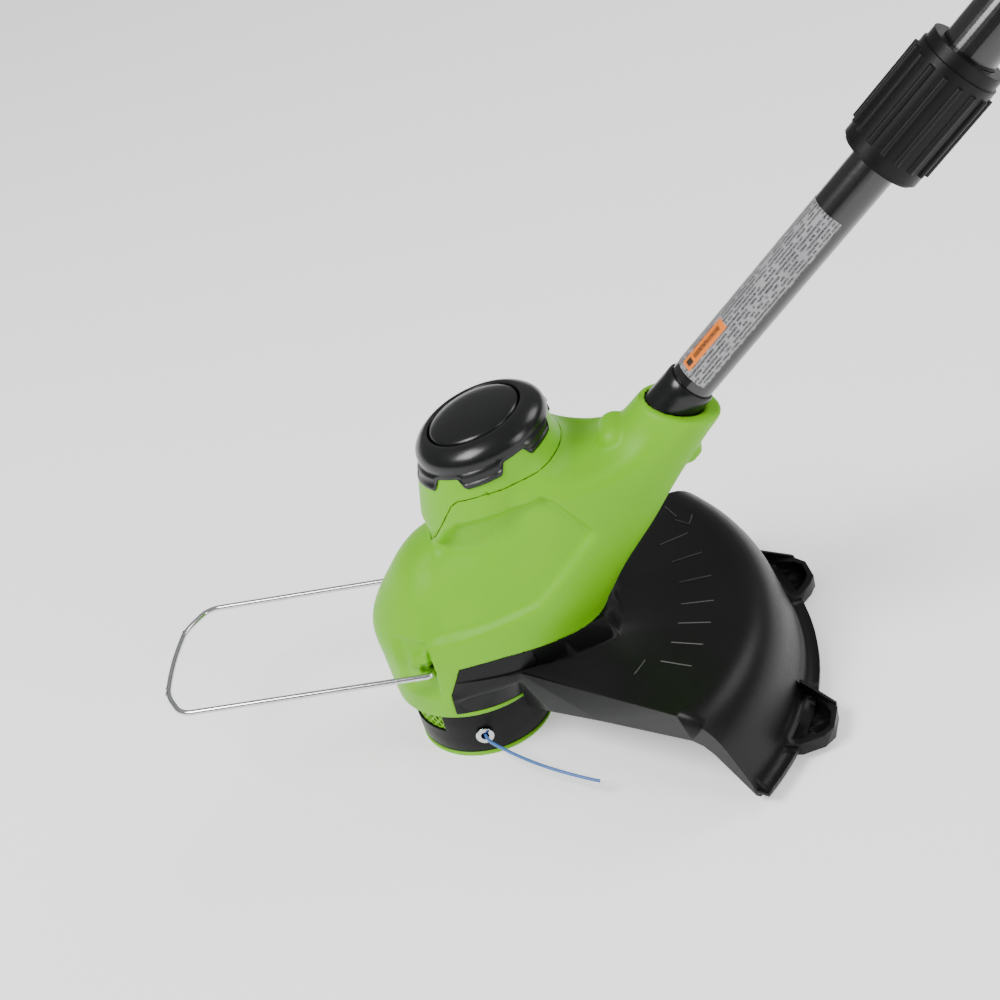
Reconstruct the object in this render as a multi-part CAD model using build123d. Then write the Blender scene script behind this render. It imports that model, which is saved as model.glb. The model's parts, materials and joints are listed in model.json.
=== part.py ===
from build123d import *
import math
import os

os.makedirs("parts", exist_ok=True)

# Frame: +Z is the line head's spin axis, upwards. The origin is the centre of the flat
# face under the spool cap. +X points to the user's side, along which the shaft rises.
# Lengths are in millimetres and angles in degrees.

# Driving dimensions: shaft
SHAFT_TILT = 43.8
SHAFT_FOOT = (110.5, 0, 150)
LOWER_TUBE_R = 11.0
LOWER_TUBE_WALL = 1.2
LOWER_TUBE_FROM = -20
LOWER_TUBE_TO = 462
UPPER_TUBE_R = 13.0
UPPER_TUBE_WALL = 1.2
UPPER_TUBE_FROM = 182
UPPER_TUBE_TO = 836
SLEEVE_R = 12.2
SLEEVE_TO = 38
SOCKET_BORE_R = 13.0
COLLAR_FROM = 174.6
COLLAR_TO = 234
COLLAR_R = 19.5
LABEL_FROM = 44
LABEL_TO = 145
LABEL_R = 11.15
LABEL_HALF_ANGLE = 69.5
LABEL_TURN = 34.5
RUNNING = 0.05

# Driving dimensions: motor head
WALL = 2.6
RIM_Z = 31.5
RIM_R = 41.0
COLLAR_BASE_Z = 34.0
CAP_CENTRE = (36.3, 0, 170.5)
CAP_LEAN = 11.5
CAP_R = 33.6
CAP_HEIGHT = 9.8
DOME_R = 23.0
DOME_EDGE = 9.6
DOME_RISE = 4.6
CAP_TABS = 6
COVER_SCREW_R = 14.0
MOTOR_R = 20.0
MOTOR_Z = 53.0
MOTOR_TOP_Z = 100.0
AXLE_R = 2.5
GUARD_SCREW_X = 36.0
GUARD_SCREW_Y = 17.0

# Driving dimensions: line head
DRUM_R = 35.5
DRUM_TOP_Z = 33.0
DRUM_WALL = 2.5
EYELET_ANGLE = -85
EYELET_Z = 14.0
LINE_R = 0.85
SPOOL_CORE_R = 13.0

# Driving dimensions: debris guard
PLATE_Z = 55.0
PLATE_THICK = 2.6
BEND_R = 139.0
BEND_CONTROL = (157.0, 55.0)
BEND_END_R = 162.2
BEND_END_Z = 33.0
BEND_STEPS = 8
SKIRT_LOW_R = 168.5
RIM_LIP_R = 174.5
LIP_TOP_Z = 9.0
LIP_LOW_Z = 6.2
SKIRT_LOW_Z = 4.0
END_EDGE_START = (26.5, 39.8)
END_EDGE_ANGLE = 32.7
END_WALL_LEAN = 12.2
LUG_ANGLES = {-1: 18.4, 1: 20.5}
LUG_TOP_Z = 11.0

# Driving dimensions: wire edge guide
WIRE_R = 1.5
WIRE_PIVOT = (-12, 0, 62)
WIRE_HALF_GAP = 43.0
WIRE_REACH = 140.0
WIRE_DROOP = 0.0

# Driving dimensions: front handle
FRONT_HANDLE_S = 520
FRONT_PIVOT_UP = 25
LOOP_R = 8.0
LOOP_HALF_WIDTH = 58.0
LOOP_HEIGHT = 118.0
EAR_GAP = 16.3
EAR_THICK = 5.5

# Driving dimensions: rear handle and battery
SHELL = 2.6
NECK_FROM = 780
GRIP_FROM = 845
GRIP_TO = 965
BAY_TO = 1078
ROOF_UP = 30
BAY_FLOOR_UP = -62
GRIP_HALF = 18
BAY_HALF = 38
TRIGGER_PIVOT = (-6, 898)
BATTERY_FROM = 986
BATTERY_TO = 1080

BASE = (Align.CENTER, Align.CENTER, Align.MIN)


def rod(radius, low, high):
    return Pos(0, 0, low) * Cylinder(radius, high - low, align=BASE)


def tube(r_out, r_in, low, high):
    return rod(r_out, low, high) - rod(r_in, low - 1, high + 1)


def cone(r_low, r_high, low, high):
    return Pos(0, 0, low) * Cone(r_low, r_high, high - low, align=BASE)


def block(x, y, z):
    """A box from three (low, high) pairs."""
    size = [high - low for low, high in (x, y, z)]
    middle = [(high + low) / 2 for low, high in (x, y, z)]
    return Pos(*middle) * Box(*size)


def side_plate(points, half_width):
    """A side-view outline in X and Z, widened equally to both sides."""
    return extrude(Plane.XZ * Polygon(*points, align=None), half_width, both=True)


def plan_plate(points, low, high):
    """A plan outline in X and Y, as a solid between two heights."""
    middle = (low + high) / 2
    return extrude(Pos(0, 0, middle) * Polygon(*points, align=None), (high - low) / 2, both=True)


def turned(points):
    """A closed (radius, height) outline turned about Z."""
    return revolve(Plane.XZ * Polygon(*points, align=None), Axis.Z)


def place(angle, radius, z=0):
    """A spot on a circle about Z, with its X axis pointing outwards."""
    return Rot(0, 0, angle) * Pos(radius, 0, z)


def screw(head_r, head_h, shank_r, length):
    """A pan-head screw pointing down -Z from its head's underside at 0."""
    head = rod(head_r, 0, head_h)
    drive = Rot(0, 0, 45) * Box(head_r * 1.1, 0.8, head_h) + Rot(0, 0, -45) * Box(head_r * 1.1, 0.8, head_h)
    return head + rod(shank_r, -length, 0) - Pos(0, 0, head_h) * drive


tilt = math.radians(SHAFT_TILT)
ALONG = Vector(math.cos(tilt), 0, math.sin(tilt))
ABOVE = Vector(-math.sin(tilt), 0, math.cos(tilt))
SHAFT = Plane(origin=SHAFT_FOOT, x_dir=ABOVE, z_dir=ALONG).location
lean = math.radians(CAP_LEAN)
CAP = Plane(origin=CAP_CENTRE, x_dir=(math.cos(lean), 0, math.sin(lean)),
            z_dir=(-math.sin(lean), 0, math.cos(lean))).location

nodes = {}


def keep(name, shape):
    nodes[name] = shape


# ---------------------------------------------------------------- motor head shells

# Level sections of the housing: height, middle in X, half length to the front and to the rear,
# half width, and how square the rear half is (2 is an ellipse).
SECTIONS = [
    (RIM_Z, 0, RIM_R, RIM_R, RIM_R, 2.0),
    (46, 1.0, 43.2, 54.0, 43.2, 2.2),
    (60, 4.5, 47.5, 70.0, 44.6, 2.6),
    (72, 11.5, 55.0, 66.5, 45.0, 2.7),
    (84, 22.5, 61.0, 60.0, 44.6, 2.7),
    (98, 28.0, 56.5, 64.5, 42.6, 2.6),
    (110, 37.0, 54.0, 65.5, 40.0, 2.4),
    (124, 48.0, 41.5, 62.0, 37.5, 2.2),
    (143, 62.0, 38.0, 56.0, 34.0, 2.0),
    (154, 66.0, 38.0, 54.0, 31.0, 2.0),
]
# The edge between the housing and the guard, seen from the side.
GUARD_EDGE = [(-6.3, COLLAR_BASE_Z), (-5.5, 47.8), (2.3, 64.1), (27.6, 67.7), (55.4, 69.1), (75.4, 68.3)]
HOUSING_UNDERSIDE = GUARD_EDGE + [(95, 68.3), (95, COLLAR_BASE_Z)]
COVER_SEAM = [(-30, 119.5), (0, 119.5), (9.2, 136.5), (18.4, 150.9), (22.3, 153.9), (35, 156.6),
              (47.6, 157.4), (58, 158.8), (70, 160), (80, 160), (85, 205), (-30, 205)]
NECK_DEPTH = 52
NECK_FOOT_R = 37.6
NECK_TOP_R = 33.0
NECK_DRIFT = 16.1
SOCKET_DEPTH = 60
SOCKET_END = 36
SOCKET_FOOT_R = 24.2
SOCKET_END_R = 17.5
SOCKET_FOOT_DROP = 6.7
SOCKET_END_DROP = 2.4
SECTION_POINTS = 32


def egg(front, rear, width, power):
    """A level outline: half an ellipse to the front, and a squarer half to the rear."""
    points = []
    for number in range(SECTION_POINTS):
        angle = 2 * math.pi * number / SECTION_POINTS
        across, aside = math.cos(angle), math.sin(angle)
        exponent = 2 / power if across > 0 else 1
        length = rear if across > 0 else front
        points.append((math.copysign(length * abs(across) ** exponent, across),
                       math.copysign(width * abs(aside) ** exponent, aside)))
    return make_face(Spline(*points, periodic=True))


def neck_ring(height, grow):
    """The round outline of the neck at a height along the cap's axis."""
    share = -height / NECK_DEPTH
    return Pos(-NECK_DRIFT * share, 0, height) * Circle(NECK_TOP_R + (NECK_FOOT_R - NECK_TOP_R) * share + grow)


def level_form(shrink):
    faces = []
    for z, middle, front, rear, half_width, power in SECTIONS:
        lift = -3 * (z == RIM_Z) if shrink else 0
        ring = egg(front - shrink, rear - shrink, half_width - shrink, power)
        faces.append(Pos(middle, 0, z + lift - shrink * (z > 150)) * ring)
    return loft(faces)


def housing_form(shrink):
    """The whole housing as one solid, or its inner space when shrunk by the wall."""
    neck = CAP * loft([neck_ring(-NECK_DEPTH, -shrink), neck_ring(-shrink, -shrink)])
    socket = SHAFT * loft([Pos(-SOCKET_FOOT_DROP, 0, -SOCKET_DEPTH) * Circle(SOCKET_FOOT_R - shrink),
                           Pos(-SOCKET_END_DROP, 0, SOCKET_END - shrink * 2) * Circle(SOCKET_END_R - shrink)])
    return level_form(shrink) + neck + socket


MOUTH = Plane(origin=(132, 0, 167), x_dir=(0, 1, 0), z_dir=(0.358, 0, 0.934)).location


def make_housing():
    outside = housing_form(0)
    mouth_cut = MOUTH * block((-60, 60), (-60, 60), (0, 60))
    outside += Pos(98, 0, 155.5) * Rot(90, 0, 0) * Cylinder(7.2, 14)
    outside += SHAFT * Pos(-22, 0, 9) * Rot(90, 0, 0) * Cylinder(3.4, 9)
    outside -= mouth_cut
    mouth_face = outside & (MOUTH * block((-60, 60), (-60, 60), (-4, 60)))
    bore = SHAFT * rod(SOCKET_BORE_R, -35, 60)
    barrel = SHAFT * rod(SOCKET_BORE_R + 2.4, -32, 30) & outside
    shell = outside - housing_form(WALL) - rod(RIM_R - WALL, 20, 44)
    shell = shell + mouth_face + barrel - bore
    shell -= side_plate(HOUSING_UNDERSIDE, 80)
    cover_zone = side_plate(COVER_SEAM, 80)
    cover = shell & cover_zone
    body = shell - cover_zone

    # A bulkhead over the motor carries a web and the two posts that the cover screws into.
    carrier = block((-20, 70), (-60, 60), (116, 118.6))
    carrier += side_plate([(30, 118), (68, 118), (68, 150), (30, 148)], 1.3)
    for side in (-1, 1):
        carrier += CAP * Pos(side * COVER_SCREW_R, 0, 0) * rod(4.0, -48, -4.5)
        carrier -= CAP * Pos(side * COVER_SCREW_R, 0, 0) * rod(1.6, -30, 0)
    body += (carrier & outside) - bore
    for side in (-1, 1):
        boss = Pos(GUARD_SCREW_X, side * GUARD_SCREW_Y, 0) * rod(4.5, 66.0, 84) & outside
        wall_rib = block((GUARD_SCREW_X - 1, GUARD_SCREW_X + 1), sorted((side * 17, side * 46)), (72, 82))
        body += boss + (wall_rib & outside)
        body -= Pos(GUARD_SCREW_X, side * GUARD_SCREW_Y, 0) * rod(1.6, 60, 82)
        # Pockets in the sides, where the wire's arms turn
        pocket = Pos(WIRE_PIVOT[0], side * 52, WIRE_PIVOT[2]) * Rot(90, 0, 0) * Cylinder(9, 24)
        body -= pocket & block((-40, 0), (-80, 80), (40, 75))
        # Pivot holes for the wire guide
        body -= Pos(WIRE_PIVOT[0], 0, WIRE_PIVOT[2]) * Rot(90, 0, 0) * rod(WIRE_R + RUNNING, 30, 60)
        body -= Pos(WIRE_PIVOT[0], 0, WIRE_PIVOT[2]) * Rot(-90, 0, 0) * rod(WIRE_R + RUNNING, 30, 60)
    for side in (-1, 1):
        cover -= CAP * Pos(side * COVER_SCREW_R, 0, 0) * rod(2.1, -8, 1)
    return body, cover


def make_cap():
    ring = turned([(20, 0.2), (CAP_R - 0.4, 0.2), (CAP_R, 4.5), (CAP_R - 2.2, 7.6),
                   (DOME_R + 1.6, CAP_HEIGHT), (DOME_R + 0.5, CAP_HEIGHT), (DOME_R + 0.5, 5.5), (20, 5.5)])
    wide = 2 * math.pi * CAP_R / CAP_TABS * 0.42
    for number in range(CAP_TABS):
        tab = loft([neck_ring(-5.5, 1.1), neck_ring(3.0, 1.1)])
        tab -= loft([neck_ring(-5.6, 0.06), neck_ring(3.1, 0.06)])
        shape = Polygon((-wide / 2, 3), (-wide / 2, -2.5), (-wide / 3, -5.5), (wide / 3, -5.5),
                        (wide / 2, -2.5), (wide / 2, 3), align=None)
        window = Rot(0, 0, 30 + number * 360 / CAP_TABS) * extrude(Plane.YZ * shape, 50)
        ring += tab & window
    ball_r = (DOME_R ** 2 + DOME_RISE ** 2) / (2 * DOME_RISE)
    ball = Pos(0, 0, DOME_EDGE + DOME_RISE - ball_r) * Sphere(ball_r)
    dome = rod(DOME_R, 6, DOME_EDGE + DOME_RISE) & ball
    return CAP * ring, CAP * dome


def make_cover_screws():
    return Compound([CAP * Pos(side * COVER_SCREW_R, 0, 0) * screw(3.4, 2.0, 1.6, 26) for side in (-1, 1)])


# ---------------------------------------------------------------- motor

def make_motor():
    plate = tube(37.2, 7.0, MOTOR_Z - 3, MOTOR_Z)
    for angle in (45, 135, 225, 315):
        plate -= place(angle, 30) * rod(4, 0, 100)
    for side in (-1, 1):
        plate -= Pos(0, side * 12, 0) * rod(2.0, 0, 100)
    keep("motor_mount_plate", plate)
    can = rod(MOTOR_R, MOTOR_Z, MOTOR_TOP_Z) - rod(MOTOR_R - 1.6, MOTOR_Z + 1.6, MOTOR_TOP_Z + 1)
    can -= rod(6.0, 0, 80)
    for side in (-1, 1):
        can -= Pos(0, side * 12, 0) * rod(1.7, 0, 60)
        can -= place(side * 90, MOTOR_R, 70) * Box(8, 5, 14)
    keep("motor_can", can)
    arc = tube(MOTOR_R - 1.6, 14.4, MOTOR_Z + 8, MOTOR_Z + 37)
    pieces = [arc & block((9, 30), (-30, 30), (0, 120)), arc & block((-30, -9), (-30, 30), (0, 120))]
    magnets = Compound(pieces)
    keep("motor_magnets", magnets)
    end_cap = rod(MOTOR_R, MOTOR_TOP_Z, MOTOR_TOP_Z + 4) + rod(8, MOTOR_TOP_Z + 4, MOTOR_TOP_Z + 8)
    end_cap -= rod(5.0, MOTOR_TOP_Z - 1, MOTOR_TOP_Z + 6)
    for side in (-1, 1):
        end_cap += block(sorted((side * 7, side * 16)), (-4, 4), (MOTOR_TOP_Z - 8, MOTOR_TOP_Z))
        end_cap -= block(sorted((side * 5, side * 14)), (-2.5, 2.5), (MOTOR_TOP_Z - 6.5, MOTOR_TOP_Z - 1.5))
    keep("motor_end_cap", end_cap)
    brushes = Compound([block(sorted((side * 6.15, side * 13)), (-2.4, 2.4),
                              (MOTOR_TOP_Z - 6.4, MOTOR_TOP_Z - 1.6)) - rod(6.1, 80, 120)
                        for side in (-1, 1)])
    keep("motor_brushes", brushes)
    bearings = Compound([tube(6.0, AXLE_R + RUNNING / 2, MOTOR_Z, MOTOR_Z + 4.5),
                         tube(5.0, AXLE_R + RUNNING / 2, MOTOR_TOP_Z + 1.5, MOTOR_TOP_Z + 6)])
    keep("motor_bearings", bearings)
    bolts = Compound([Pos(0, side * 12, MOTOR_Z - 3) * Rot(180, 0, 0) * screw(3.2, 2.0, 1.7, 6.2)
                      for side in (-1, 1)])
    keep("motor_screws", bolts)

    keep("motor_axle", rod(AXLE_R, 16, MOTOR_TOP_Z + 5.5))
    core = tube(13.6, AXLE_R, MOTOR_Z + 9, MOTOR_Z + 38)
    for number in range(12):
        core -= place(number * 30, 13.6, MOTOR_Z + 24) * Box(4, 1.6, 40)
    keep("rotor_core", core)
    commutator = tube(6.0, AXLE_R, MOTOR_TOP_Z - 8, MOTOR_TOP_Z - 0.6)
    keep("commutator", commutator)

    fan = tube(5.0, AXLE_R, 38, 47) + tube(33.0, 5.0, 38, 39.6)
    for number in range(14):
        blade = place(number * 360 / 14, 21, 43) * Rot(0, 0, 28) * Box(20, 1.4, 8)
        fan += blade & rod(33.0, 38, 47)
    keep("cooling_fan", fan)


# ---------------------------------------------------------------- line head

def make_line_head():
    outline = [(0, DRUM_TOP_Z - 3), (DRUM_R - 3.2, DRUM_TOP_Z - 3), (DRUM_R - DRUM_WALL, DRUM_TOP_Z - 6),
               (DRUM_R - DRUM_WALL - 1.0, 2.2), (DRUM_R - 1.0, 2.2), (DRUM_R - 0.4, 7),
               (DRUM_R, 20), (DRUM_R - 0.4, DRUM_TOP_Z - 3), (DRUM_R - 2.5, DRUM_TOP_Z), (0, DRUM_TOP_Z)]
    drum = turned(outline) - rod(9.0, 20, 40)
    for angle in (205, 25):
        window = Rot(0, 0, angle) * block((20, 50), (-21, 21), (16, DRUM_TOP_Z - 4.5))
        drum -= window
    drum -= place(EYELET_ANGLE, DRUM_R - 6, EYELET_Z) * Rot(0, 90, 0) * rod(3.2, 0, 12)
    keep("line_drum", drum)
    hub = rod(9.0, 24, 36) + extrude(Pos(0, 0, 20.5) * RegularPolygon(6.5, 6), 4)
    keep("drive_hub", hub - rod(AXLE_R, 10, 40))

    spool = tube(SPOOL_CORE_R, 10.5, 4, 28.5)
    for low in (4, 26.9):
        spool += tube(31.0, 10.5, low, low + 1.6)
    for number in range(18):
        spool -= place(number * 20, 26.5) * rod(2.0, 26, 30)
    for number in range(12):
        spool -= place(number * 30, 19.5) * rod(1.6, 26, 30)
    keep("line_spool", spool)
    wound = turned([(SPOOL_CORE_R, 5.7), (27.5, 5.7), (29, 9), (29, 23), (27.5, 26.8), (SPOOL_CORE_R, 26.8)])
    keep("wound_line", wound)

    cap = rod(DRUM_R - 0.6, 0, 2.0) + tube(DRUM_R - DRUM_WALL - 1.6, DRUM_R - DRUM_WALL - 3.2, 2.0, 3.8)
    cap += tube(7.0, 4.6, 2.0, 8)
    for number in range(3):
        cap -= place(number * 120 + 60, 20, -0.01) * Box(14, 8, 1.6)
    keep("spool_cap", cap)
    turns = 4
    pitch = 2.6
    coil = Helix(pitch, pitch * turns, 8.6)
    wire = Plane(origin=coil @ 0, z_dir=coil % 0) * Circle(0.55)
    keep("spool_spring", Pos(0, 0, 4.8) * sweep(wire, coil, is_frenet=True))

    flange = tube(4.7, 2.0, 6.4, 7.8)
    eyelet = tube(3.2, 2.0, 0.5, 6.4) + fillet(flange.edges().group_by(Axis.Z)[-1], 0.55)
    keep("line_eyelet", place(EYELET_ANGLE, DRUM_R - 6, EYELET_Z) * Rot(0, 90, 0) * eyelet)


# The free end of the cutting line, from inside the eyelet to its tip.
CUT_LINE = [
    (3.0, -34.5, 14.0),
    (4.6, -41.0, 14.6),
    (11.0, -47.6, 14.8),
    (20.5, -55.4, 13.9),
    (31.5, -63.0, 12.8),
    (43.8, -70.0, 11.7),
    (57.0, -76.6, 10.7),
    (61.6, -78.4, 10.4),
]


def corner_radii(points):
    """Each corner's radius: 0.45 of its shorter run over the tangent of half the turn."""
    radii = []
    for before, here, after in zip(points, points[1:], points[2:]):
        run_in = Vector(*here) - Vector(*before)
        run_out = Vector(*after) - Vector(*here)
        turn = math.radians(run_in.get_angle(run_out))
        radii.append(0.45 * min(run_in.length, run_out.length) / math.tan(turn / 2))
    return radii


def make_cut_line():
    radii = corner_radii(CUT_LINE)
    print("cut line radii", [round(radius, 1) for radius in radii])
    path = FilletPolyline(*CUT_LINE, radius=radii)
    section = Plane(origin=path @ 0, z_dir=path % 0) * Circle(LINE_R)
    line = sweep(section, path)
    print("cut line length", round(path.length, 1),
          "volume ratio", round(line.volume / (math.pi * LINE_R ** 2 * path.length), 4))
    return line


# ---------------------------------------------------------------- debris guard

def end_plane(side):
    """The plane of one end wall: its X runs outwards along the top edge, its Z points away."""
    turn = math.radians(END_EDGE_ANGLE)
    lean_in = math.radians(END_WALL_LEAN)
    away = (-math.sin(turn) * math.cos(lean_in), side * math.cos(turn) * math.cos(lean_in), -math.sin(lean_in))
    x0, y0 = END_EDGE_START
    return Plane(origin=(x0, side * y0, PLATE_Z), x_dir=(math.cos(turn), side * math.sin(turn), 0),
                 z_dir=away).location


# The end walls' lower edge, seen from the side, with everything that lies above it.
WALL_REACH = [(28, 60), (28, 27), (41, 27.3), (66, 31.4), (111, 36.8), (116, 35), (120.5, 30),
              (136, 3.5), (220, 3.5), (220, 60)]


def guard_profile(depth):
    """The guard's section as a band of the given depth under its outer surface."""
    bend = Bezier((BEND_R, PLATE_Z), BEND_CONTROL, (BEND_END_R, BEND_END_Z))
    outer = [(30, PLATE_Z)]
    inner = [(30, PLATE_Z - depth)]
    for step in range(BEND_STEPS + 1):
        point = bend @ (step / BEND_STEPS)
        direction = bend % (step / BEND_STEPS)
        outer.append((point.X, point.Y))
        inner.append((point.X + direction.Y * depth, point.Y - direction.X * depth))
    outer += [(SKIRT_LOW_R, LIP_TOP_Z), (SKIRT_LOW_R + 0.8, SKIRT_LOW_Z)]
    inner += [(SKIRT_LOW_R - depth, LIP_TOP_Z - 2), (SKIRT_LOW_R + 0.8 - depth, SKIRT_LOW_Z)]
    return outer + inner[::-1]


# The riser is the guard's faceted neck, which leans in from the plate to the housing.
RISER_FOOT_Z = PLATE_Z - PLATE_THICK
RISER_TOP_Z = 90.0
RISER_FOOT = [(26.5, 39.8), (59.8, 36.2), (82.4, 25.4), (84.2, 12.6)]
RISER_TOP = [(29.1, 50.5), (49.5, 41.3), (66.1, 24.5), (69.7, 11.2)]
RISER_HOLLOW_FOOT = [(12, 36.0), (58.4, 33.4), (79.9, 23.6), (81.6, 12.2)]
RISER_HOLLOW_TOP = [(12, 41.0), (48.1, 38.6), (63.5, 22.6), (67.0, 10.8)]


def riser_form(foot, top):
    """A solid between two plan outlines, each given on one side of the middle plane."""
    ends = []
    for z, points in ((RISER_FOOT_Z - 0.5, foot), (RISER_TOP_Z, top)):
        outline = points + [(x, -y) for x, y in reversed(points)]
        ends.append(Pos(0, 0, z) * Polygon(*outline, align=None))
    return loft(ends, ruled=True)


def make_guard():
    skin = turned(guard_profile(PLATE_THICK)) + tube(RIM_LIP_R, SKIRT_LOW_R - 1.5, LIP_LOW_Z, LIP_TOP_Z)
    solid = turned(guard_profile(PLATE_THICK)[:BEND_STEPS + 4] + [(30, SKIRT_LOW_Z)])
    skin &= block((-6.3, 240), (-200, 200), (0, 80))
    walls = []
    for side in (-1, 1):
        skin -= end_plane(side) * block((-40, 300), (-300, 300), (0, 300))
        slab = end_plane(side) * block((-40, 300), (-300, 300), (-PLATE_THICK, 0))
        walls.append(solid & slab & side_plate(WALL_REACH, 200))
    guard = skin + walls[0] + walls[1]
    lower_band = housing_form(0) & block((-6.3, 120), (-80, 80), (COLLAR_BASE_Z, PLATE_Z + 0.5))
    neck = riser_form(RISER_FOOT, RISER_TOP)
    riser = (neck + lower_band) & side_plate(GUARD_EDGE + [(86, 68.3), (86, COLLAR_BASE_Z)], 80)
    guard += riser
    guard -= housing_form(WALL + 0.4)
    guard -= rod(RIM_R - WALL, 20, 44)
    guard -= riser_form(RISER_HOLLOW_FOOT, RISER_HOLLOW_TOP)
    guard += neck & block((30, 50), (-60, 60), (60, 63))
    for side in (-1, 1):
        guard -= Pos(GUARD_SCREW_X, side * GUARD_SCREW_Y, 0) * rod(2.0, 50, 70)
        guard += make_lug(side)
    for along in CUTTER_SCREWS:
        guard -= end_plane(1) * Pos(along, CUTTER_SCREW_DOWN, -PLATE_THICK - 1) * rod(1.6, 0, 8)
    return guard


def polar(radius, angle):
    return (radius * math.cos(math.radians(angle)), radius * math.sin(math.radians(angle)))


def make_lug(side):
    """One hollow bracket that stands out from the rim."""
    middle = LUG_ANGLES[side]
    corners = [(166, -6.8), (RIM_LIP_R, -6.4), (182, -4.4), (186.5, -2.6), (188, 1.6), (185, 3.8),
               (176, 6.2), (166, 7.0)]
    inset = [(170, -5.2), (174.5, -5.0), (180.5, -3.2), (184, -1.6), (185.4, 1.2), (183, 2.8),
             (175, 4.8), (170, 5.2)]
    outline = [polar(radius, side * (middle + angle)) for radius, angle in corners]
    pocket = [polar(radius, side * (middle + angle)) for radius, angle in inset]
    lug = plan_plate(outline, SKIRT_LOW_Z, LUG_TOP_Z) - plan_plate(pocket, SKIRT_LOW_Z + 2.2, LUG_TOP_Z + 5)
    return lug - rod(SKIRT_LOW_R - 1.8, 0, 12)


# Places on the far end wall: along its top edge, and down from it
CUTTER_EDGE = 90
CUTTER_BACK = 105
CUTTER_TOP = 10
CUTTER_FOOT = 44
CUTTER_THICK = 1.5
CUTTER_SCREWS = (94, 101)
CUTTER_SCREW_DOWN = 14


def make_cutter():
    """The line cutter: a flat steel blade on the far end wall, with its edge in the line's path."""
    wall = end_plane(1)
    low = -PLATE_THICK - CUTTER_THICK
    blade = wall * block((CUTTER_EDGE, CUTTER_BACK), (CUTTER_TOP, CUTTER_FOOT), (low, -PLATE_THICK))
    blade -= wall * Pos(CUTTER_EDGE, CUTTER_FOOT, low) * Rot(0, 45, 0) * Box(1.6, 2 * CUTTER_FOOT, 1.6)
    screws = []
    for along in CUTTER_SCREWS:
        blade -= wall * Pos(along, CUTTER_SCREW_DOWN, 0) * rod(1.6, -8, 2)
        screws.append(wall * Pos(along, CUTTER_SCREW_DOWN, low) * Rot(180, 0, 0)
                      * screw(2.6, 1.8, 1.6, 4.0))
    return blade, Compound(screws)


# ---------------------------------------------------------------- wire edge guide

def make_wire_guide():
    reach = WIRE_REACH
    half = WIRE_HALF_GAP
    points = [(0, -half + 9, 0), (0, -half, 0), (-reach * 0.93, -half, 0), (-reach, -half + 16, 0),
              (-reach - 3.5, 0, 0), (-reach, half - 16, 0), (-reach * 0.93, half, 0), (0, half, 0),
              (0, half - 9, 0)]
    path = FilletPolyline(*points, radius=[3, 11, 30, 200, 30, 11, 3])
    section = Plane(origin=path @ 0, z_dir=path % 0) * Circle(WIRE_R)
    return Pos(*WIRE_PIVOT) * Rot(0, -WIRE_DROOP, 0) * sweep(section, path)


# ---------------------------------------------------------------- shaft

def make_shaft():
    keep("lower_tube", SHAFT * tube(LOWER_TUBE_R, LOWER_TUBE_R - LOWER_TUBE_WALL, LOWER_TUBE_FROM, LOWER_TUBE_TO))
    keep("tube_sleeve", SHAFT * tube(SLEEVE_R, LOWER_TUBE_R, LOWER_TUBE_FROM, SLEEVE_TO))
    keep("socket_bush", SHAFT * tube(SOCKET_BORE_R, SLEEVE_R + RUNNING, -30, 20))
    label = tube(LABEL_R, LOWER_TUBE_R, LABEL_FROM, LABEL_TO)
    label &= block((LABEL_R * math.cos(math.radians(LABEL_HALF_ANGLE)), 30), (-30, 30), (0, 200))
    label = Rot(0, 0, LABEL_TURN) * label
    keep("label_band", SHAFT * label)
    keep("slide_bush", SHAFT * tube(UPPER_TUBE_R - UPPER_TUBE_WALL - RUNNING, LOWER_TUBE_R,
                                    LOWER_TUBE_TO - 26, LOWER_TUBE_TO))
    keep("upper_tube", SHAFT * tube(UPPER_TUBE_R, UPPER_TUBE_R - UPPER_TUBE_WALL, UPPER_TUBE_FROM, UPPER_TUBE_TO))
    seat = tube(15.5, LOWER_TUBE_R + RUNNING, UPPER_TUBE_FROM - 5, UPPER_TUBE_FROM)
    seat += tube(15.5, UPPER_TUBE_R, UPPER_TUBE_FROM, UPPER_TUBE_FROM + 36)
    for number in range(3):
        seat -= Rot(0, 0, number * 120) * block((8, 20), (-1.2, 1.2), (176, 200))
    keep("lock_collet", SHAFT * seat)
    collar = tube(COLLAR_R, 15.5 + RUNNING, COLLAR_FROM + 1.6, COLLAR_TO - 6)
    collar += tube(COLLAR_R - 1.5, LOWER_TUBE_R + 0.5, COLLAR_FROM, COLLAR_FROM + 1.6)
    collar += tube(COLLAR_R - 1.0, UPPER_TUBE_R + 0.3, COLLAR_TO - 6, COLLAR_TO)
    for number in range(16):
        rib = rod(1.6, COLLAR_FROM + 8, COLLAR_TO - 10)
        collar += place(number * 22.5, COLLAR_R) * rib
    keep("lock_collar", SHAFT * collar)


# ---------------------------------------------------------------- front handle

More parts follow.
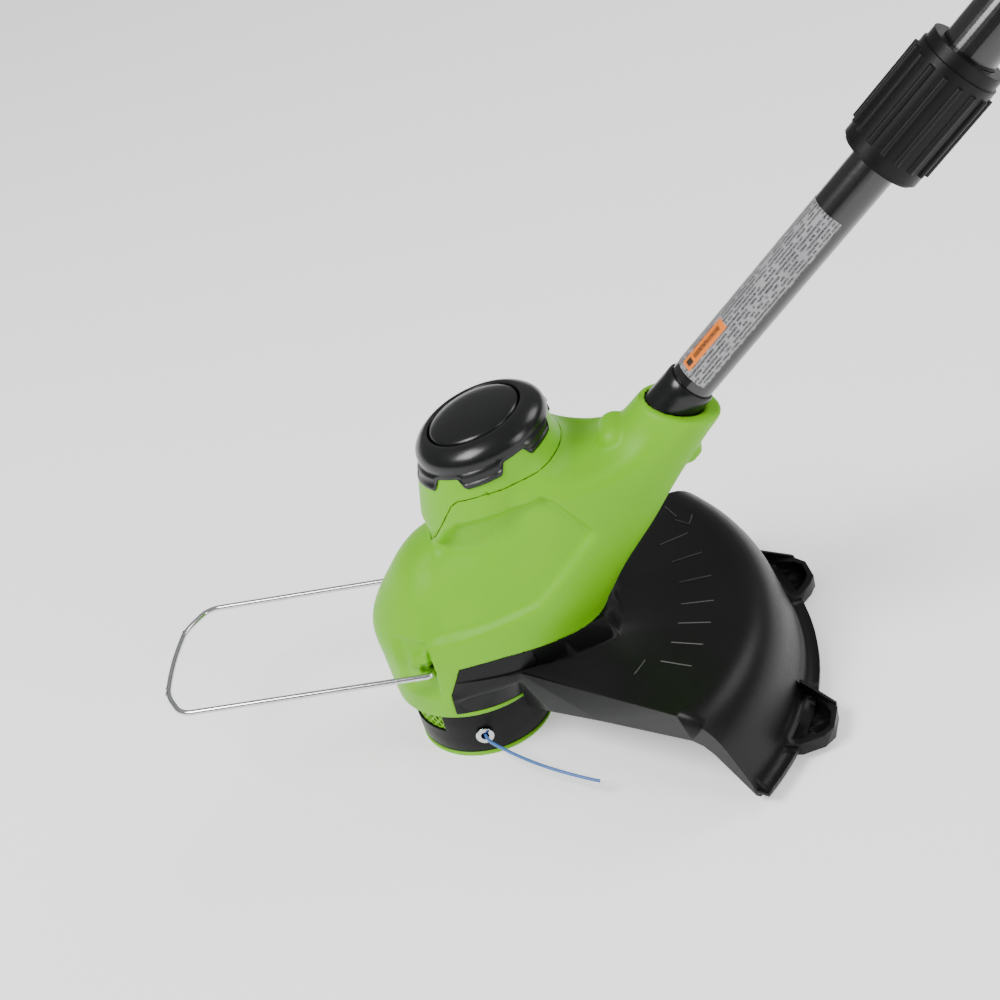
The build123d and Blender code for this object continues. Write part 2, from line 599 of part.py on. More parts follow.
def make_front_handle():
    s = FRONT_HANDLE_S
    bore = rod(UPPER_TUBE_R, s - 60, s + 60)
    top = block((0.3, FRONT_PIVOT_UP - 3), (-23, 23), (s - 20, s + 20))
    top += block((0.3, FRONT_PIVOT_UP), (-16, 16), (s - 14, s + 14))
    top += Pos(FRONT_PIVOT_UP, 0, s) * Rot(90, 0, 0) * Cylinder(11, 32)
    top -= block((FRONT_PIVOT_UP - 14, 60), (-40, -16), (s - 40, s + 40))
    top -= block((FRONT_PIVOT_UP - 14, 60), (16, 40), (s - 40, s + 40))
    pivot = Pos(FRONT_PIVOT_UP, 0, s) * Rot(90, 0, 0)
    top = top - bore - pivot * Cylinder(3.0, 80)
    bottom = block((-18, -0.3), (-23, 23), (s - 20, s + 20)) - bore
    for y in (-19, 19):
        for along in (-13, 13):
            top -= Pos(0, y, s + along) * Rot(0, 90, 0) * rod(2.0, 0, 9)
            bottom -= Pos(0, y, s + along) * Rot(0, 90, 0) * rod(2.0, -20, 0)
    keep("front_clamp_top", SHAFT * top)
    keep("front_clamp_bottom", SHAFT * bottom)
    keep("front_clamp_screws", Compound([
        SHAFT * Pos(-18, y, s + along) * Rot(0, -90, 0) * screw(3.6, 2.6, 2.0, 26)
        for y in (-19, 19) for along in (-13, 13)]))
    bolt = pivot * (rod(3.0, -24, 35) + rod(5.5, -27, -23.5))
    keep("front_pivot_bolt", SHAFT * bolt)
    knob = rod(9, 23.2, 33)
    for number in range(3):
        knob += place(number * 120, 9) * rod(4.8, 24.5, 33)
    keep("front_knob", SHAFT * pivot * (knob - rod(3.0 + RUNNING, 20, 40)))

    centre = SHAFT * Pos(FRONT_PIVOT_UP, 0, s)
    stand = Pos(*centre.position)
    mid = EAR_GAP + EAR_THICK / 2
    points = [(0, -mid, 4), (0, -mid - 2, 18), (0, -LOOP_HALF_WIDTH, 42), (0, -LOOP_HALF_WIDTH, LOOP_HEIGHT),
              (0, LOOP_HALF_WIDTH, LOOP_HEIGHT), (0, LOOP_HALF_WIDTH, 42), (0, mid + 2, 18), (0, mid, 4)]
    path = FilletPolyline(*points, radius=[8, 16, 26, 26, 16, 8])
    section = Plane(origin=path @ 0, z_dir=path % 0) * Circle(LOOP_R)
    bar = sweep(section, path)
    bar -= block((-30, 30), (-EAR_GAP, EAR_GAP), (-20, 30))
    bar -= block((-30, 30), (-80, -EAR_GAP - EAR_THICK), (-20, 17))
    bar -= block((-30, 30), (EAR_GAP + EAR_THICK, 80), (-20, 17))
    for side in (-1, 1):
        ear = Pos(0, side * mid, 0) * Rot(90, 0, 0) * Cylinder(10.5, EAR_THICK)
        ear += block((-7, 7), sorted((side * EAR_GAP, side * (EAR_GAP + EAR_THICK))), (0, 20))
        bar += ear
    bar -= Rot(90, 0, 0) * Cylinder(3.0 + RUNNING, 100)
    keep("front_loop", stand * bar)
    grip = Pos(0, 0, LOOP_HEIGHT) * Rot(90, 0, 0) * (Cylinder(LOOP_R + 4, 62) - Cylinder(LOOP_R, 70))
    keep("front_grip", stand * grip)


# ---------------------------------------------------------------- rear handle

def handle_form(shrink):
    """The rear handle as one solid in the shaft's frame, or its inside when shrunk."""
    neck = cone(19 - shrink, 21 - shrink, NECK_FROM + shrink * 1.5, GRIP_FROM + 12)
    half = GRIP_HALF - shrink
    grip = block((-21 + shrink, 22 - shrink), (-half, half), (GRIP_FROM - 14, GRIP_TO + 6))
    grip = fillet(grip.edges().filter_by(Axis.Z), 13 - shrink)
    wide = BAY_HALF - shrink
    roof = block((-6 + shrink, ROOF_UP - shrink), (-wide, wide), (GRIP_TO - 12 + shrink, BAY_TO - shrink))
    roof = fillet(roof.edges().filter_by(Axis.Z), 5 - shrink / 2)
    front = block((BAY_FLOOR_UP + shrink, 6), (-wide, wide), (GRIP_TO - 12 + shrink, BATTERY_FROM - 1 - shrink))
    front = fillet(front.edges().filter_by(Axis.Z).group_by(Axis.X)[0], 5 - shrink / 2)
    return neck + grip + roof + front


def make_rear_handle():
    shell = handle_form(0) - handle_form(SHELL)
    bore = rod(UPPER_TUBE_R, NECK_FROM - 5, UPPER_TUBE_TO + 0.5)
    seat = (tube(17.5, UPPER_TUBE_R, NECK_FROM, NECK_FROM + 14) + tube(17.5, UPPER_TUBE_R, 822, 830))
    shell = shell + (seat & handle_form(0)) - bore
    shell -= block((-30, -10), (-7, 7), (858, 907))
    shell -= block((10, 40), (-8.3, 8.3), (862, 890))
    tail = block((8, 30), (-7, 7), (BAY_TO - 2, BAY_TO + 26))
    tail = fillet(tail.edges().filter_by(Axis.Y).group_by(Axis.Z)[-1], 9)
    tail -= Pos(19, 0, BAY_TO + 13) * Rot(90, 0, 0) * Cylinder(5.0, 40)
    shell += tail
    # Rails for the battery under the roof
    for side in (-1, 1):
        shell += block((-14, -4), sorted((side * 30, side * 35.4)), (BATTERY_FROM + 4, BAY_TO - 4))
    screws = []
    for up, s in ((11, 852), (-12, 842), (5, 946), (20, 1000), (20, 1050), (-40, 968)):
        half = (handle_half(up, s))
        boss = Pos(up, 0, s) * Rot(90, 0, 0) * Cylinder(3.6, 2 * half - 0.6)
        hole = Pos(up, 0, s) * Rot(90, 0, 0) * rod(1.5, -half + 4, half)
        recess = Pos(up, 0, s) * Rot(90, 0, 0) * rod(3.0, half - 3.0, half + 2)
        shell = shell + (boss & handle_form(0)) - hole - recess
        screws.append(SHAFT * Pos(up, 0, s) * Rot(90, 0, 0) * Pos(0, 0, half - 3.0) * screw(2.8, 1.8, 1.5, 2 * half - 8))
    left = shell & block((-200, 200), (0, 200), (0, 2000))
    right = shell & block((-200, 200), (-200, 0), (0, 2000))
    keep("rear_handle_right", SHAFT * left)
    keep("rear_handle_left", SHAFT * right)
    keep("handle_screws", Compound(screws))


def handle_half(up, s):
    if s < 846:
        return 17.0
    return GRIP_HALF if s < GRIP_TO - 14 else BAY_HALF


def make_grip_pad():
    half = GRIP_HALF + 1.8
    outside = block((-22.4, 24), (-half, half), (GRIP_FROM + 54, GRIP_TO - 14))
    outside = fillet(outside.edges().filter_by(Axis.Z), 14)
    outside -= block((-40, -23), (-40, 40), (0, 2000))
    inner = block((-21, 22), (-GRIP_HALF, GRIP_HALF), (GRIP_FROM - 14, GRIP_TO + 6))
    inner = fillet(inner.edges().filter_by(Axis.Z), 13)
    pad = outside - inner
    return SHAFT * (pad & block((-4, 60), (-60, 60), (0, 2000)))


def make_trigger():
    up, s = TRIGGER_PIVOT
    outline = [(up + 4, s - 5), (up + 4, s + 4), (up - 5, s + 5), (up - 12, s - 2), (-22, s - 6), (-33, s - 16),
               (-36, s - 26), (-30, s - 33), (-24, s - 30), (-18, s - 31), (-14, s - 28)]
    lever = extrude(Plane.XZ * Polygon(*outline, align=None), 6, both=True)
    lever = lever - Pos(up, 0, s) * Rot(90, 0, 0) * Cylinder(2.0 + RUNNING, 40)
    lever -= Pos(up, 0, s) * Rot(90, 0, 0) * Cylinder(4.6, 5)
    keep("trigger", SHAFT * lever)
    keep("trigger_pin", SHAFT * Pos(up, 0, s) * Rot(90, 0, 0) * Cylinder(2.0, 2 * (GRIP_HALF - SHELL) - 0.2))
    coil = Helix(1.1, 3.3, 3.2)
    wire = Plane(origin=coil @ 0, z_dir=coil % 0) * Circle(0.4)
    spring = sweep(wire, coil, is_frenet=True)
    keep("trigger_spring", SHAFT * Pos(up, 0, s) * Rot(90, 0, 0) * Pos(0, 0, -1.65) * spring)
    keep("switch_block", SHAFT * block((-3, 9.5), (-9, 9), (864, 885)))
    button = block((13.5, 27), (-8, 8), (862.3, 889.7))
    button = fillet(button.edges().filter_by(Axis.X), 3)
    button = fillet(button.edges().group_by(Axis.X)[-1], 2)
    button += block((13.5, 15.5), (-10.5, 10.5), (858, 894))
    keep("lock_button", SHAFT * button)


def make_battery():
    low, high = BATTERY_FROM, BATTERY_TO
    case = block((-60, -16), (-36, 36), (low, high))
    case = fillet(case.edges().filter_by(Axis.Z), 6)
    case = fillet(case.edges().group_by(Axis.Z)[-1], 3)
    case -= block((-57, -18.5), (-33, 33), (low + 3, high - 3))
    lid = block((-16, -14.4), (-29, 29), (low, high)) + block((-14.4, -6.6), (-29.4, 29.4), (low + 6, high - 4))
    lid -= block((-13, -4), (-20, 20), (low, low + 22))
    lid -= block((-20, -4), (-10.2, 10.2), (high - 16, high + 5))
    case -= block((-30, -10), (-10.2, 10.2), (high - 16, high + 5))
    keep("battery_case", SHAFT * case)
    keep("battery_lid", SHAFT * lid)
    blades = [block((-13, -8.6), (y - 0.5, y + 0.5), (low + 12, low + 22)) for y in (-15, -5, 5, 15)]
    keep("battery_contacts", SHAFT * Compound(blades))
    cells = []
    for y in (-22, 0, 22):
        for up in (-47.2, -28.6):
            cells.append(Pos(up, y, 0) * rod(9.1, low + 10, low + 75))
    keep("battery_cells", SHAFT * Compound(cells))
    release = block((-26, -8), (-10, 10), (high - 12, high + 1.0))
    release = fillet(release.edges().group_by(Axis.Z)[-1], 1.2)
    keep("battery_release", SHAFT * release)
    terminal = block((-12.4, -7.8), (-19, 19), (low + 0.4, low + 10))
    for y in (-15, -5, 5, 15):
        terminal -= block((-13, -7), (y - 0.8, y + 0.8), (low + 5, low + 12))
    keep("battery_terminal", SHAFT * terminal)


def main():
    body, cover = make_housing()
    keep("housing_body", body)
    keep("housing_cover", cover)
    ring, dome = make_cap()
    keep("cap_ring", ring)
    keep("cap_dome", dome)
    keep("cover_screws", make_cover_screws())
    make_motor()
    make_line_head()
    keep("cut_line", make_cut_line())
    keep("debris_guard", make_guard())
    keep("guard_screws", Compound([Pos(GUARD_SCREW_X, side * GUARD_SCREW_Y, 60) * Rot(180, 0, 0) * screw(4.0, 2.4, 1.6, 18)
                                   for side in (-1, 1)]))
    blade, blade_screws = make_cutter()
    keep("line_cutter", blade)
    keep("cutter_screws", blade_screws)
    keep("wire_guide", make_wire_guide())
    make_shaft()
    make_front_handle()
    make_rear_handle()
    keep("grip_pad", make_grip_pad())
    make_trigger()
    make_battery()
    for name, shape in nodes.items():
        export_step(shape, "parts/" + name + ".step")


main()
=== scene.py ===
import json
import math

import bmesh
import bpy
import numpy as np
from mathutils import Matrix, Vector


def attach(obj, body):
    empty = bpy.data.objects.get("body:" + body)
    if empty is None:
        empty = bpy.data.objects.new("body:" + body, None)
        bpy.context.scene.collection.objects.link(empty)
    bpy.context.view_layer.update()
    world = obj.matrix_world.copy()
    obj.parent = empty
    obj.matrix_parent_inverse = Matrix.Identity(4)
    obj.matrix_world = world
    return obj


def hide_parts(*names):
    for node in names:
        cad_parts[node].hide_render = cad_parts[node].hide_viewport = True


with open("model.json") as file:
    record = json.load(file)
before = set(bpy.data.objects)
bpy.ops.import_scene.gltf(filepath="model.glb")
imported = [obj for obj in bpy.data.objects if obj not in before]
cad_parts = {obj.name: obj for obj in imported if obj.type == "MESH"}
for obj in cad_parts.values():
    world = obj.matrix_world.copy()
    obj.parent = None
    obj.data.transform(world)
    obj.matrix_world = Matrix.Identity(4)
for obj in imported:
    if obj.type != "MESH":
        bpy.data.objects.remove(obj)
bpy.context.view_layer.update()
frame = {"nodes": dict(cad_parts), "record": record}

MM = 0.001
nodes = frame["nodes"]
SHAFT_TILT = 43.8
SHAFT_FOOT = (110.5, 0, 150)


# ---------------------------------------------------------------- camera and stage

VIEW_AZIMUTH = 11.0
VIEW_ELEVATION = 33.0
VIEW_ROLL = 15.5
VIEW_DISTANCE = 1.05
LENS = 72.0
SENSOR = 36.0
# Half the floor's side and how far it lies under the object, in metres
FLOOR_HALF = 6.0
FLOOR_DROP = 0.0005
# Where the frame's origin falls in the view, in shares of the view's width from its middle
ORIGIN_RIGHT = -0.0114
ORIGIN_UP = -0.210


def make_camera():
    azimuth, elevation, roll = (math.radians(v) for v in (VIEW_AZIMUTH, VIEW_ELEVATION, VIEW_ROLL))
    right = Vector((math.cos(azimuth), math.sin(azimuth), 0))
    up = Vector((-math.sin(azimuth) * math.sin(elevation), math.cos(azimuth) * math.sin(elevation),
                 math.cos(elevation)))
    back = right.cross(up)
    turned_right = right * math.cos(roll) - up * math.sin(roll)
    turned_up = right * math.sin(roll) + up * math.cos(roll)
    span = SENSOR / LENS * VIEW_DISTANCE
    place = -turned_right * ORIGIN_RIGHT * span - turned_up * ORIGIN_UP * span + back * VIEW_DISTANCE
    data = bpy.data.cameras.new("camera")
    data.lens = LENS
    data.sensor_width = SENSOR
    camera = bpy.data.objects.new("camera", data)
    bpy.context.scene.collection.objects.link(camera)
    rotation = Matrix((turned_right, turned_up, back)).transposed()
    camera.matrix_world = Matrix.Translation(place) @ rotation.to_4x4()
    bpy.context.scene.camera = camera
    return camera


def add_light(name, place, target, size, power, colour=(1, 1, 1)):
    data = bpy.data.lights.new(name, "AREA")
    data.shape = "RECTANGLE"
    data.size, data.size_y = size
    data.energy = power
    data.color = colour
    lamp = bpy.data.objects.new(name, data)
    bpy.context.scene.collection.objects.link(lamp)
    lamp.location = place
    lamp.rotation_euler = (Vector(target) - Vector(place)).to_track_quat("-Z", "Y").to_euler()


def make_stage():
    world = bpy.data.worlds.new("studio")
    bpy.context.scene.world = world
    world.use_nodes = True
    background = world.node_tree.nodes["Background"]
    background.inputs["Strength"].default_value = 0.5
    tree = world.node_tree
    direction = tree.nodes.new("ShaderNodeTexCoord")
    parts = tree.nodes.new("ShaderNodeSeparateXYZ")
    sky = tree.nodes.new("ShaderNodeValToRGB")
    sky.color_ramp.elements[0].position = 0.0
    sky.color_ramp.elements[0].color = (0.42, 0.42, 0.43, 1)
    sky.color_ramp.elements[1].position = 0.75
    sky.color_ramp.elements[1].color = (1, 1, 1, 1)
    tree.links.new(direction.outputs["Generated"], parts.inputs["Vector"])
    tree.links.new(parts.outputs["Z"], sky.inputs["Fac"])
    tree.links.new(sky.outputs["Color"], background.inputs["Color"])
    add_light("key", (-0.9, -0.75, 1.6), (0.05, 0, 0.08), (0.8, 0.8), 42)
    add_light("fill", (1.5, -0.8, 0.8), (0.1, 0, 0.1), (0.5, 1.0), 12)
    add_light("rim", (1.7, 0.9, 1.5), (0.1, 0, 0.1), (0.9, 0.9), 16)
    mesh = bpy.data.meshes.new("floor")
    corners = [(-FLOOR_HALF, -FLOOR_HALF, 0), (FLOOR_HALF, -FLOOR_HALF, 0), (FLOOR_HALF, FLOOR_HALF, 0),
               (-FLOOR_HALF, FLOOR_HALF, 0)]
    mesh.from_pydata(corners, [], [(0, 1, 2, 3)])
    floor = bpy.data.objects.new("floor", mesh)
    floor.location.z = -FLOOR_DROP
    bpy.context.scene.collection.objects.link(floor)
    paper = bpy.data.materials.new("paper")
    paper.use_nodes = True
    shader = paper.node_tree.nodes["Principled BSDF"]
    shader.inputs["Base Color"].default_value = (0.98, 0.98, 0.98, 1)
    shader.inputs["Roughness"].default_value = 0.9
    shader.inputs["Emission Color"].default_value = (1, 1, 1, 1)
    shader.inputs["Emission Strength"].default_value = 0.5
    mesh.materials.append(paper)


# ---------------------------------------------------------------- materials

def new_material(name, colour, roughness, **sockets):
    """A Principled material with its even values set on the shader itself."""
    made = bpy.data.materials.new(name)
    made.use_nodes = True
    shader = made.node_tree.nodes["Principled BSDF"]
    shader.inputs["Base Color"].default_value = (*colour, 1)
    shader.inputs["Roughness"].default_value = roughness
    for label, value in sockets.items():
        shader.inputs[label.replace("_", " ")].default_value = value
    return made, made.node_tree, shader


def node(tree, kind, **values):
    made = tree.nodes.new(kind)
    for label, value in values.items():
        if label in made.inputs:
            made.inputs[label].default_value = value
        else:
            setattr(made, label, value)
    return made


def noise(tree, scale, detail=2.0, rough=0.5, stretch=None):
    """Noise over the object's own coordinates, in cycles per metre."""
    spot = node(tree, "ShaderNodeTexCoord")
    out = spot.outputs["Object"]
    if stretch:
        mapping = node(tree, "ShaderNodeMapping", Scale=stretch)
        tree.links.new(out, mapping.inputs["Vector"])
        out = mapping.outputs["Vector"]
    made = node(tree, "ShaderNodeTexNoise", Scale=scale, Detail=detail, Roughness=rough)
    tree.links.new(out, made.inputs["Vector"])
    return made.outputs["Fac"]


def spread(tree, source, low, high, start=0.3, end=0.7):
    made = node(tree, "ShaderNodeMapRange")
    for label, value in (("From Min", start), ("From Max", end), ("To Min", low), ("To Max", high)):
        made.inputs[label].default_value = value
    tree.links.new(source, made.inputs["Value"])
    return made.outputs["Result"]


def mix_colours(tree, share, first, second):
    made = node(tree, "ShaderNodeMix", data_type="RGBA")
    tree.links.new(share, made.inputs["Factor"])
    for socket, value in ((made.inputs[6], first), (made.inputs[7], second)):
        if isinstance(value, tuple):
            socket.default_value = (*value, 1)
        else:
            tree.links.new(value, socket)
    return made.outputs[2]


def soften_edges(tree, shader, radius):
    """Shades every edge as the small radius that a mould leaves."""
    edge = node(tree, "ShaderNodeBevel", Radius=radius)
    edge.samples = 4
    tree.links.new(edge.outputs["Normal"], shader.inputs["Normal"])


def add_bump(tree, shader, height, strength, depth):
    bump = node(tree, "ShaderNodeBump", Strength=strength, Distance=depth)
    tree.links.new(height, bump.inputs["Height"])
    before = shader.inputs["Normal"].links
    if before:
        tree.links.new(before[0].from_socket, bump.inputs["Normal"])
    tree.links.new(bump.outputs["Normal"], shader.inputs["Normal"])


def moulded(name, colour, shade, roughness, grain=2600.0, grain_depth=0.00006, grain_strength=0.35, wear_and_highlight=None,
            **sockets):
    """Injection-moulded plastic: fine texture, soft tone changes, and a lighter colour on sharp edges that is
    partly rubbed wear and partly a painted edge highlight.
    """
    made, tree, shader = new_material(name, colour, roughness, **sockets)
    tone = spread(tree, noise(tree, 26.0, 3.0), 0, 1)
    base = mix_colours(tree, tone, colour, shade)
    # Sharp edges take the lighter colour: partly rubbed wear, partly a painted highlight where the edges
    # would catch the light.
    if wear_and_highlight:
        geometry = node(tree, "ShaderNodeNewGeometry")
        edge = spread(tree, geometry.outputs["Pointiness"], 0, 0.55, 0.53, 0.62)
        base = mix_colours(tree, edge, base, wear_and_highlight)
    tree.links.new(base, shader.inputs["Base Color"])
    patch = spread(tree, noise(tree, 420.0, 4.0, 0.6), roughness - 0.025, roughness + 0.03)
    tree.links.new(patch, shader.inputs["Roughness"])
    soften_edges(tree, shader, radius=0.0008)
    add_bump(tree, shader, noise(tree, grain, 2.0, 0.6), grain_strength, grain_depth)
    return made


def metal(name, colour, roughness, brushed=(1, 1, 1), depth=0.00002):
    made, tree, shader = new_material(name, colour, roughness, Metallic=1.0)
    tone = spread(tree, noise(tree, 400.0, 3.0, 0.6, brushed), 0, 1)
    darker = tuple(c * 0.82 for c in colour)
    tree.links.new(mix_colours(tree, tone, colour, darker), shader.inputs["Base Color"])
    tree.links.new(spread(tree, noise(tree, 900.0, 3.0, 0.6, brushed), roughness * 0.7, roughness * 1.4),
                   shader.inputs["Roughness"])
    add_bump(tree, shader, noise(tree, 1500.0, 2.0, 0.5, brushed), 0.25, depth)
    return made


LABEL_FROM = 44.0
LABEL_R = 11.15
LABEL_ROW = 1.75


def calculate(tree, operation, first, second=None, third=None):
    made = node(tree, "ShaderNodeMath", operation=operation)
    for socket, value in zip(made.inputs, (first, second, third)):
        if value is None:
            continue
        if isinstance(value, (int, float)):
            socket.default_value = value
        else:
            tree.links.new(value, socket)
    return made.outputs[0]


def between(tree, value, low, high):
    return calculate(tree, "MULTIPLY", calculate(tree, "GREATER_THAN", value, low),
                     calculate(tree, "LESS_THAN", value, high))


def print_label():
    """A silver film with rows of small meaningless dashes and one plain orange box."""
    made, tree, shader = new_material("label", (0.42, 0.42, 0.43), 0.34, Specular_IOR_Level=0.5)
    spot = node(tree, "ShaderNodeTexCoord")
    # Into the shaft's frame in millimetres: X down across it, Y to the far side, Z along it
    shift = node(tree, "ShaderNodeMapping", Location=(-SHAFT_FOOT[0] * MM, 0, -SHAFT_FOOT[2] * MM))
    turn = node(tree, "ShaderNodeMapping", Rotation=(0, math.radians(SHAFT_TILT - 90), 0),
                Scale=(1000, 1000, 1000))
    tree.links.new(spot.outputs["Object"], shift.inputs["Vector"])
    tree.links.new(shift.outputs["Vector"], turn.inputs["Vector"])
    parts = node(tree, "ShaderNodeSeparateXYZ")
    tree.links.new(turn.outputs["Vector"], parts.inputs["Vector"])
    across, aside, along = (parts.outputs[k] for k in range(3))
    arc = calculate(tree, "MULTIPLY", calculate(tree, "ARCTAN2", calculate(tree, "MULTIPLY", aside, -1),
                                                calculate(tree, "MULTIPLY", across, -1)), LABEL_R)
    row = calculate(tree, "FLOOR", calculate(tree, "DIVIDE", arc, LABEL_ROW))
    within = calculate(tree, "FRACT", calculate(tree, "DIVIDE", arc, LABEL_ROW))
    line = between(tree, within, 0.2, 0.82)

    def pattern(scale_along, scale_across, limit):
        place = node(tree, "ShaderNodeCombineXYZ")
        tree.links.new(calculate(tree, "MULTIPLY", along, scale_along), place.inputs["X"])
        height = arc if scale_across else row
        tree.links.new(calculate(tree, "MULTIPLY", height, scale_across or 7.31), place.inputs["Y"])
        made = node(tree, "ShaderNodeTexNoise", Scale=1.0, Detail=0.0)
        tree.links.new(place.outputs["Vector"], made.inputs["Vector"])
        return calculate(tree, "GREATER_THAN", made.outputs["Fac"], limit)

    words = pattern(0.32, None, 0.40)
    strokes = pattern(2.1, 1.9, 0.43)
    ink = calculate(tree, "MULTIPLY", calculate(tree, "MULTIPLY", words, strokes), line)
    box_across = between(tree, arc, 3.2, 9.6)
    box = calculate(tree, "MULTIPLY", between(tree, along, LABEL_FROM + 2.5, LABEL_FROM + 31), box_across)
    bar = calculate(tree, "MULTIPLY", between(tree, along, LABEL_FROM + 9, LABEL_FROM + 28),
                    between(tree, arc, 5.2, 7.6))
    tag = calculate(tree, "MULTIPLY", between(tree, along, LABEL_FROM + 4, LABEL_FROM + 7.4),
                    between(tree, arc, 4.8, 8.0))
    tone = spread(tree, noise(tree, 60.0, 3.0), 0, 1)
    film = mix_colours(tree, tone, (0.31, 0.31, 0.32), (0.26, 0.26, 0.27))
    colour = mix_colours(tree, ink, film, (0.02, 0.02, 0.021))
    colour = mix_colours(tree, box, colour, (0.80, 0.19, 0.008))
    marks = calculate(tree, "MULTIPLY", calculate(tree, "MAXIMUM", bar, tag),
                      calculate(tree, "MAXIMUM", tag, strokes))
    colour = mix_colours(tree, marks, colour, (0.03, 0.018, 0.01))
    tree.links.new(colour, shader.inputs["Base Color"])
    tree.links.new(spread(tree, noise(tree, 300.0, 3.0), 0.28, 0.42), shader.inputs["Roughness"])
    add_bump(tree, shader, noise(tree, 250.0, 2.0), 0.15, 0.00015)
    return made


def make_materials():
    green = (0.16, 0.47, 0.004)
    black = (0.0035, 0.0035, 0.0038)
    return {
        # The lighter edge colours given below are partly rubbed wear and partly a painted edge highlight.
        "green_plastic": moulded("green_plastic", green, (0.148, 0.445, 0.003), 0.46,
                                 wear_and_highlight=(0.19, 0.51, 0.01), Specular_IOR_Level=0.22),
        "black_plastic": moulded("black_plastic", black, (0.005, 0.005, 0.0053), 0.36, grain=1900.0,
                                 grain_strength=0.4, wear_and_highlight=(0.010, 0.010, 0.010), Specular_IOR_Level=0.17),
        "gloss_black": moulded("gloss_black", (0.004, 0.0043, 0.0046), (0.006, 0.0063, 0.0066), 0.24,
                               grain_strength=0.12, wear_and_highlight=(0.012, 0.012, 0.012), Specular_IOR_Level=0.38),
        "tube_paint": moulded("tube_paint", (0.0035, 0.0033, 0.003), (0.005, 0.0047, 0.0043), 0.22,
                              grain=700.0, grain_strength=0.16, Coat_Weight=0.5, Coat_Roughness=0.12),
        # Lighter grey for the guard's raised marks: a painted highlight for the light that their edges catch.
        "painted_highlight_rib": moulded("painted_highlight_rib", (0.045, 0.045, 0.045), (0.085, 0.085, 0.085), 0.4,
                              grain_strength=0.3),
        "steel": metal("steel", (0.3, 0.3, 0.3), 0.24),
        "chrome": metal("chrome", (0.62, 0.63, 0.64), 0.1),
        "spool_line": moulded("spool_line", (0.035, 0.12, 0.36), (0.06, 0.17, 0.44), 0.34,
                              grain_strength=0.1),
        "label": print_label(),
        "rubber": moulded("rubber", (0.028, 0.028, 0.029), (0.036, 0.036, 0.036), 0.72, grain=1300.0,
                          grain_strength=0.7),
        "white_nylon": moulded("white_nylon", (0.78, 0.77, 0.72), (0.72, 0.71, 0.66), 0.5),
        "brass": metal("brass", (0.72, 0.52, 0.22), 0.3),
        "cell_wrap": moulded("cell_wrap", (0.05, 0.2, 0.36), (0.06, 0.24, 0.4), 0.3),
        "magnet": moulded("magnet", (0.09, 0.09, 0.095), (0.12, 0.12, 0.12), 0.6),
    }


materials = make_materials()
slot_of = {row["node"]: row["material_slot"] for row in frame["record"]["subparts"]}


def dress(piece, slot, body=None, replaced=(), finish=None):
    """Gives a new piece the material for its slot or finish, puts it on its body and hides the CAD nodes that
    it stands for.
    """
    piece.data.materials.clear()
    piece.data.materials.append(materials[finish or slot])
    if body:
        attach(piece, body)
    if replaced:
        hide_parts(*replaced)
    return piece


# CAD nodes that look better in another of the finishes
FINISHES = {"socket_bush": "black_plastic"}


def dress_cad_nodes():
    for name, cad in nodes.items():
        if not cad.data.materials:
            cad.data.materials.append(None)
        for slot in cad.material_slots:
            slot.link = "OBJECT"
            slot.material = materials[FINISHES.get(name, slot_of[name])]


# ---------------------------------------------------------------- mesh helpers

def add_piece(name, points, faces, smooth=35):
    """A mesh from points in millimetres."""
    mesh = bpy.data.meshes.new(name)
    mesh.from_pydata([tuple(c * MM for c in p) for p in points], [], faces)
    piece = bpy.data.objects.new(name, mesh)
    bpy.context.scene.collection.objects.link(piece)
    shade(piece, smooth)
    return piece


def shade(piece, smooth=35):
    mesh = piece.data
    mesh.polygons.foreach_set("use_smooth", [True] * len(mesh.polygons))
    if smooth is not None:
        mesh.set_sharp_from_angle(angle=math.radians(smooth))


def apply_modifiers(piece):
    graph = bpy.context.evaluated_depsgraph_get()
    mesh = bpy.data.meshes.new_from_object(piece.evaluated_get(graph))
    piece.modifiers.clear()
    piece.data = mesh


def in_outline(x, z, outline):
    inside = np.zeros(len(x), bool)
    for (x0, z0), (x1, z1) in zip(outline, outline[1:] + outline[:1]):
        if z0 == z1:
            continue
        crosses = ((z0 > z) != (z1 > z)) & (x < (x1 - x0) * (z - z0) / (z1 - z0) + x0)
        inside ^= crosses
    return inside


# ---------------------------------------------------------------- the housing's form, in millimetres

# Height, middle in X, half length to the front and to the rear, half width, squareness of the rear
SECTIONS = [
    (31.5, 0, 41, 41, 41, 2.0),
    (46, 1, 43.2, 54, 43.2, 2.2),
    (60, 4.5, 47.5, 70, 44.6, 2.6),
    (72, 11.5, 55, 66.5, 45, 2.7),
    (84, 22.5, 61, 60, 44.6, 2.7),
    (98, 28, 56.5, 64.5, 42.6, 2.6),
    (110, 37, 54, 65.5, 40, 2.4),
    (124, 48, 41, 62, 37.5, 2.2),
    (143, 62, 38, 56, 34, 2.0),
    (157, 67, 38, 54, 30, 2.0),
]
CAP_CENTRE = (36.3, 0, 170.5)
CAP_LEAN = 11.5


def spline(knots, values, at):
    """A natural cubic spline through the values."""
    x = np.asarray(knots, float)
    y = np.asarray(values, float)
    n = len(x)
    h = np.diff(x)
    matrix = np.eye(n)
    right = np.zeros(n)
    for i in range(1, n - 1):
        matrix[i, i - 1:i + 2] = h[i - 1], 2 * (h[i - 1] + h[i]), h[i]
        right[i] = 6 * ((y[i + 1] - y[i]) / h[i] - (y[i] - y[i - 1]) / h[i - 1])
    bend = np.linalg.solve(matrix, right)
    at = np.clip(at, x[0], x[-1])
    i = np.clip(np.searchsorted(x, at) - 1, 0, n - 2)
    a, b = x[i + 1] - at, at - x[i]
    return (bend[i] * a ** 3 + bend[i + 1] * b ** 3) / (6 * h[i]) \
        + (y[i] / h[i] - bend[i] * h[i] / 6) * a + (y[i + 1] / h[i] - bend[i + 1] * h[i] / 6) * b


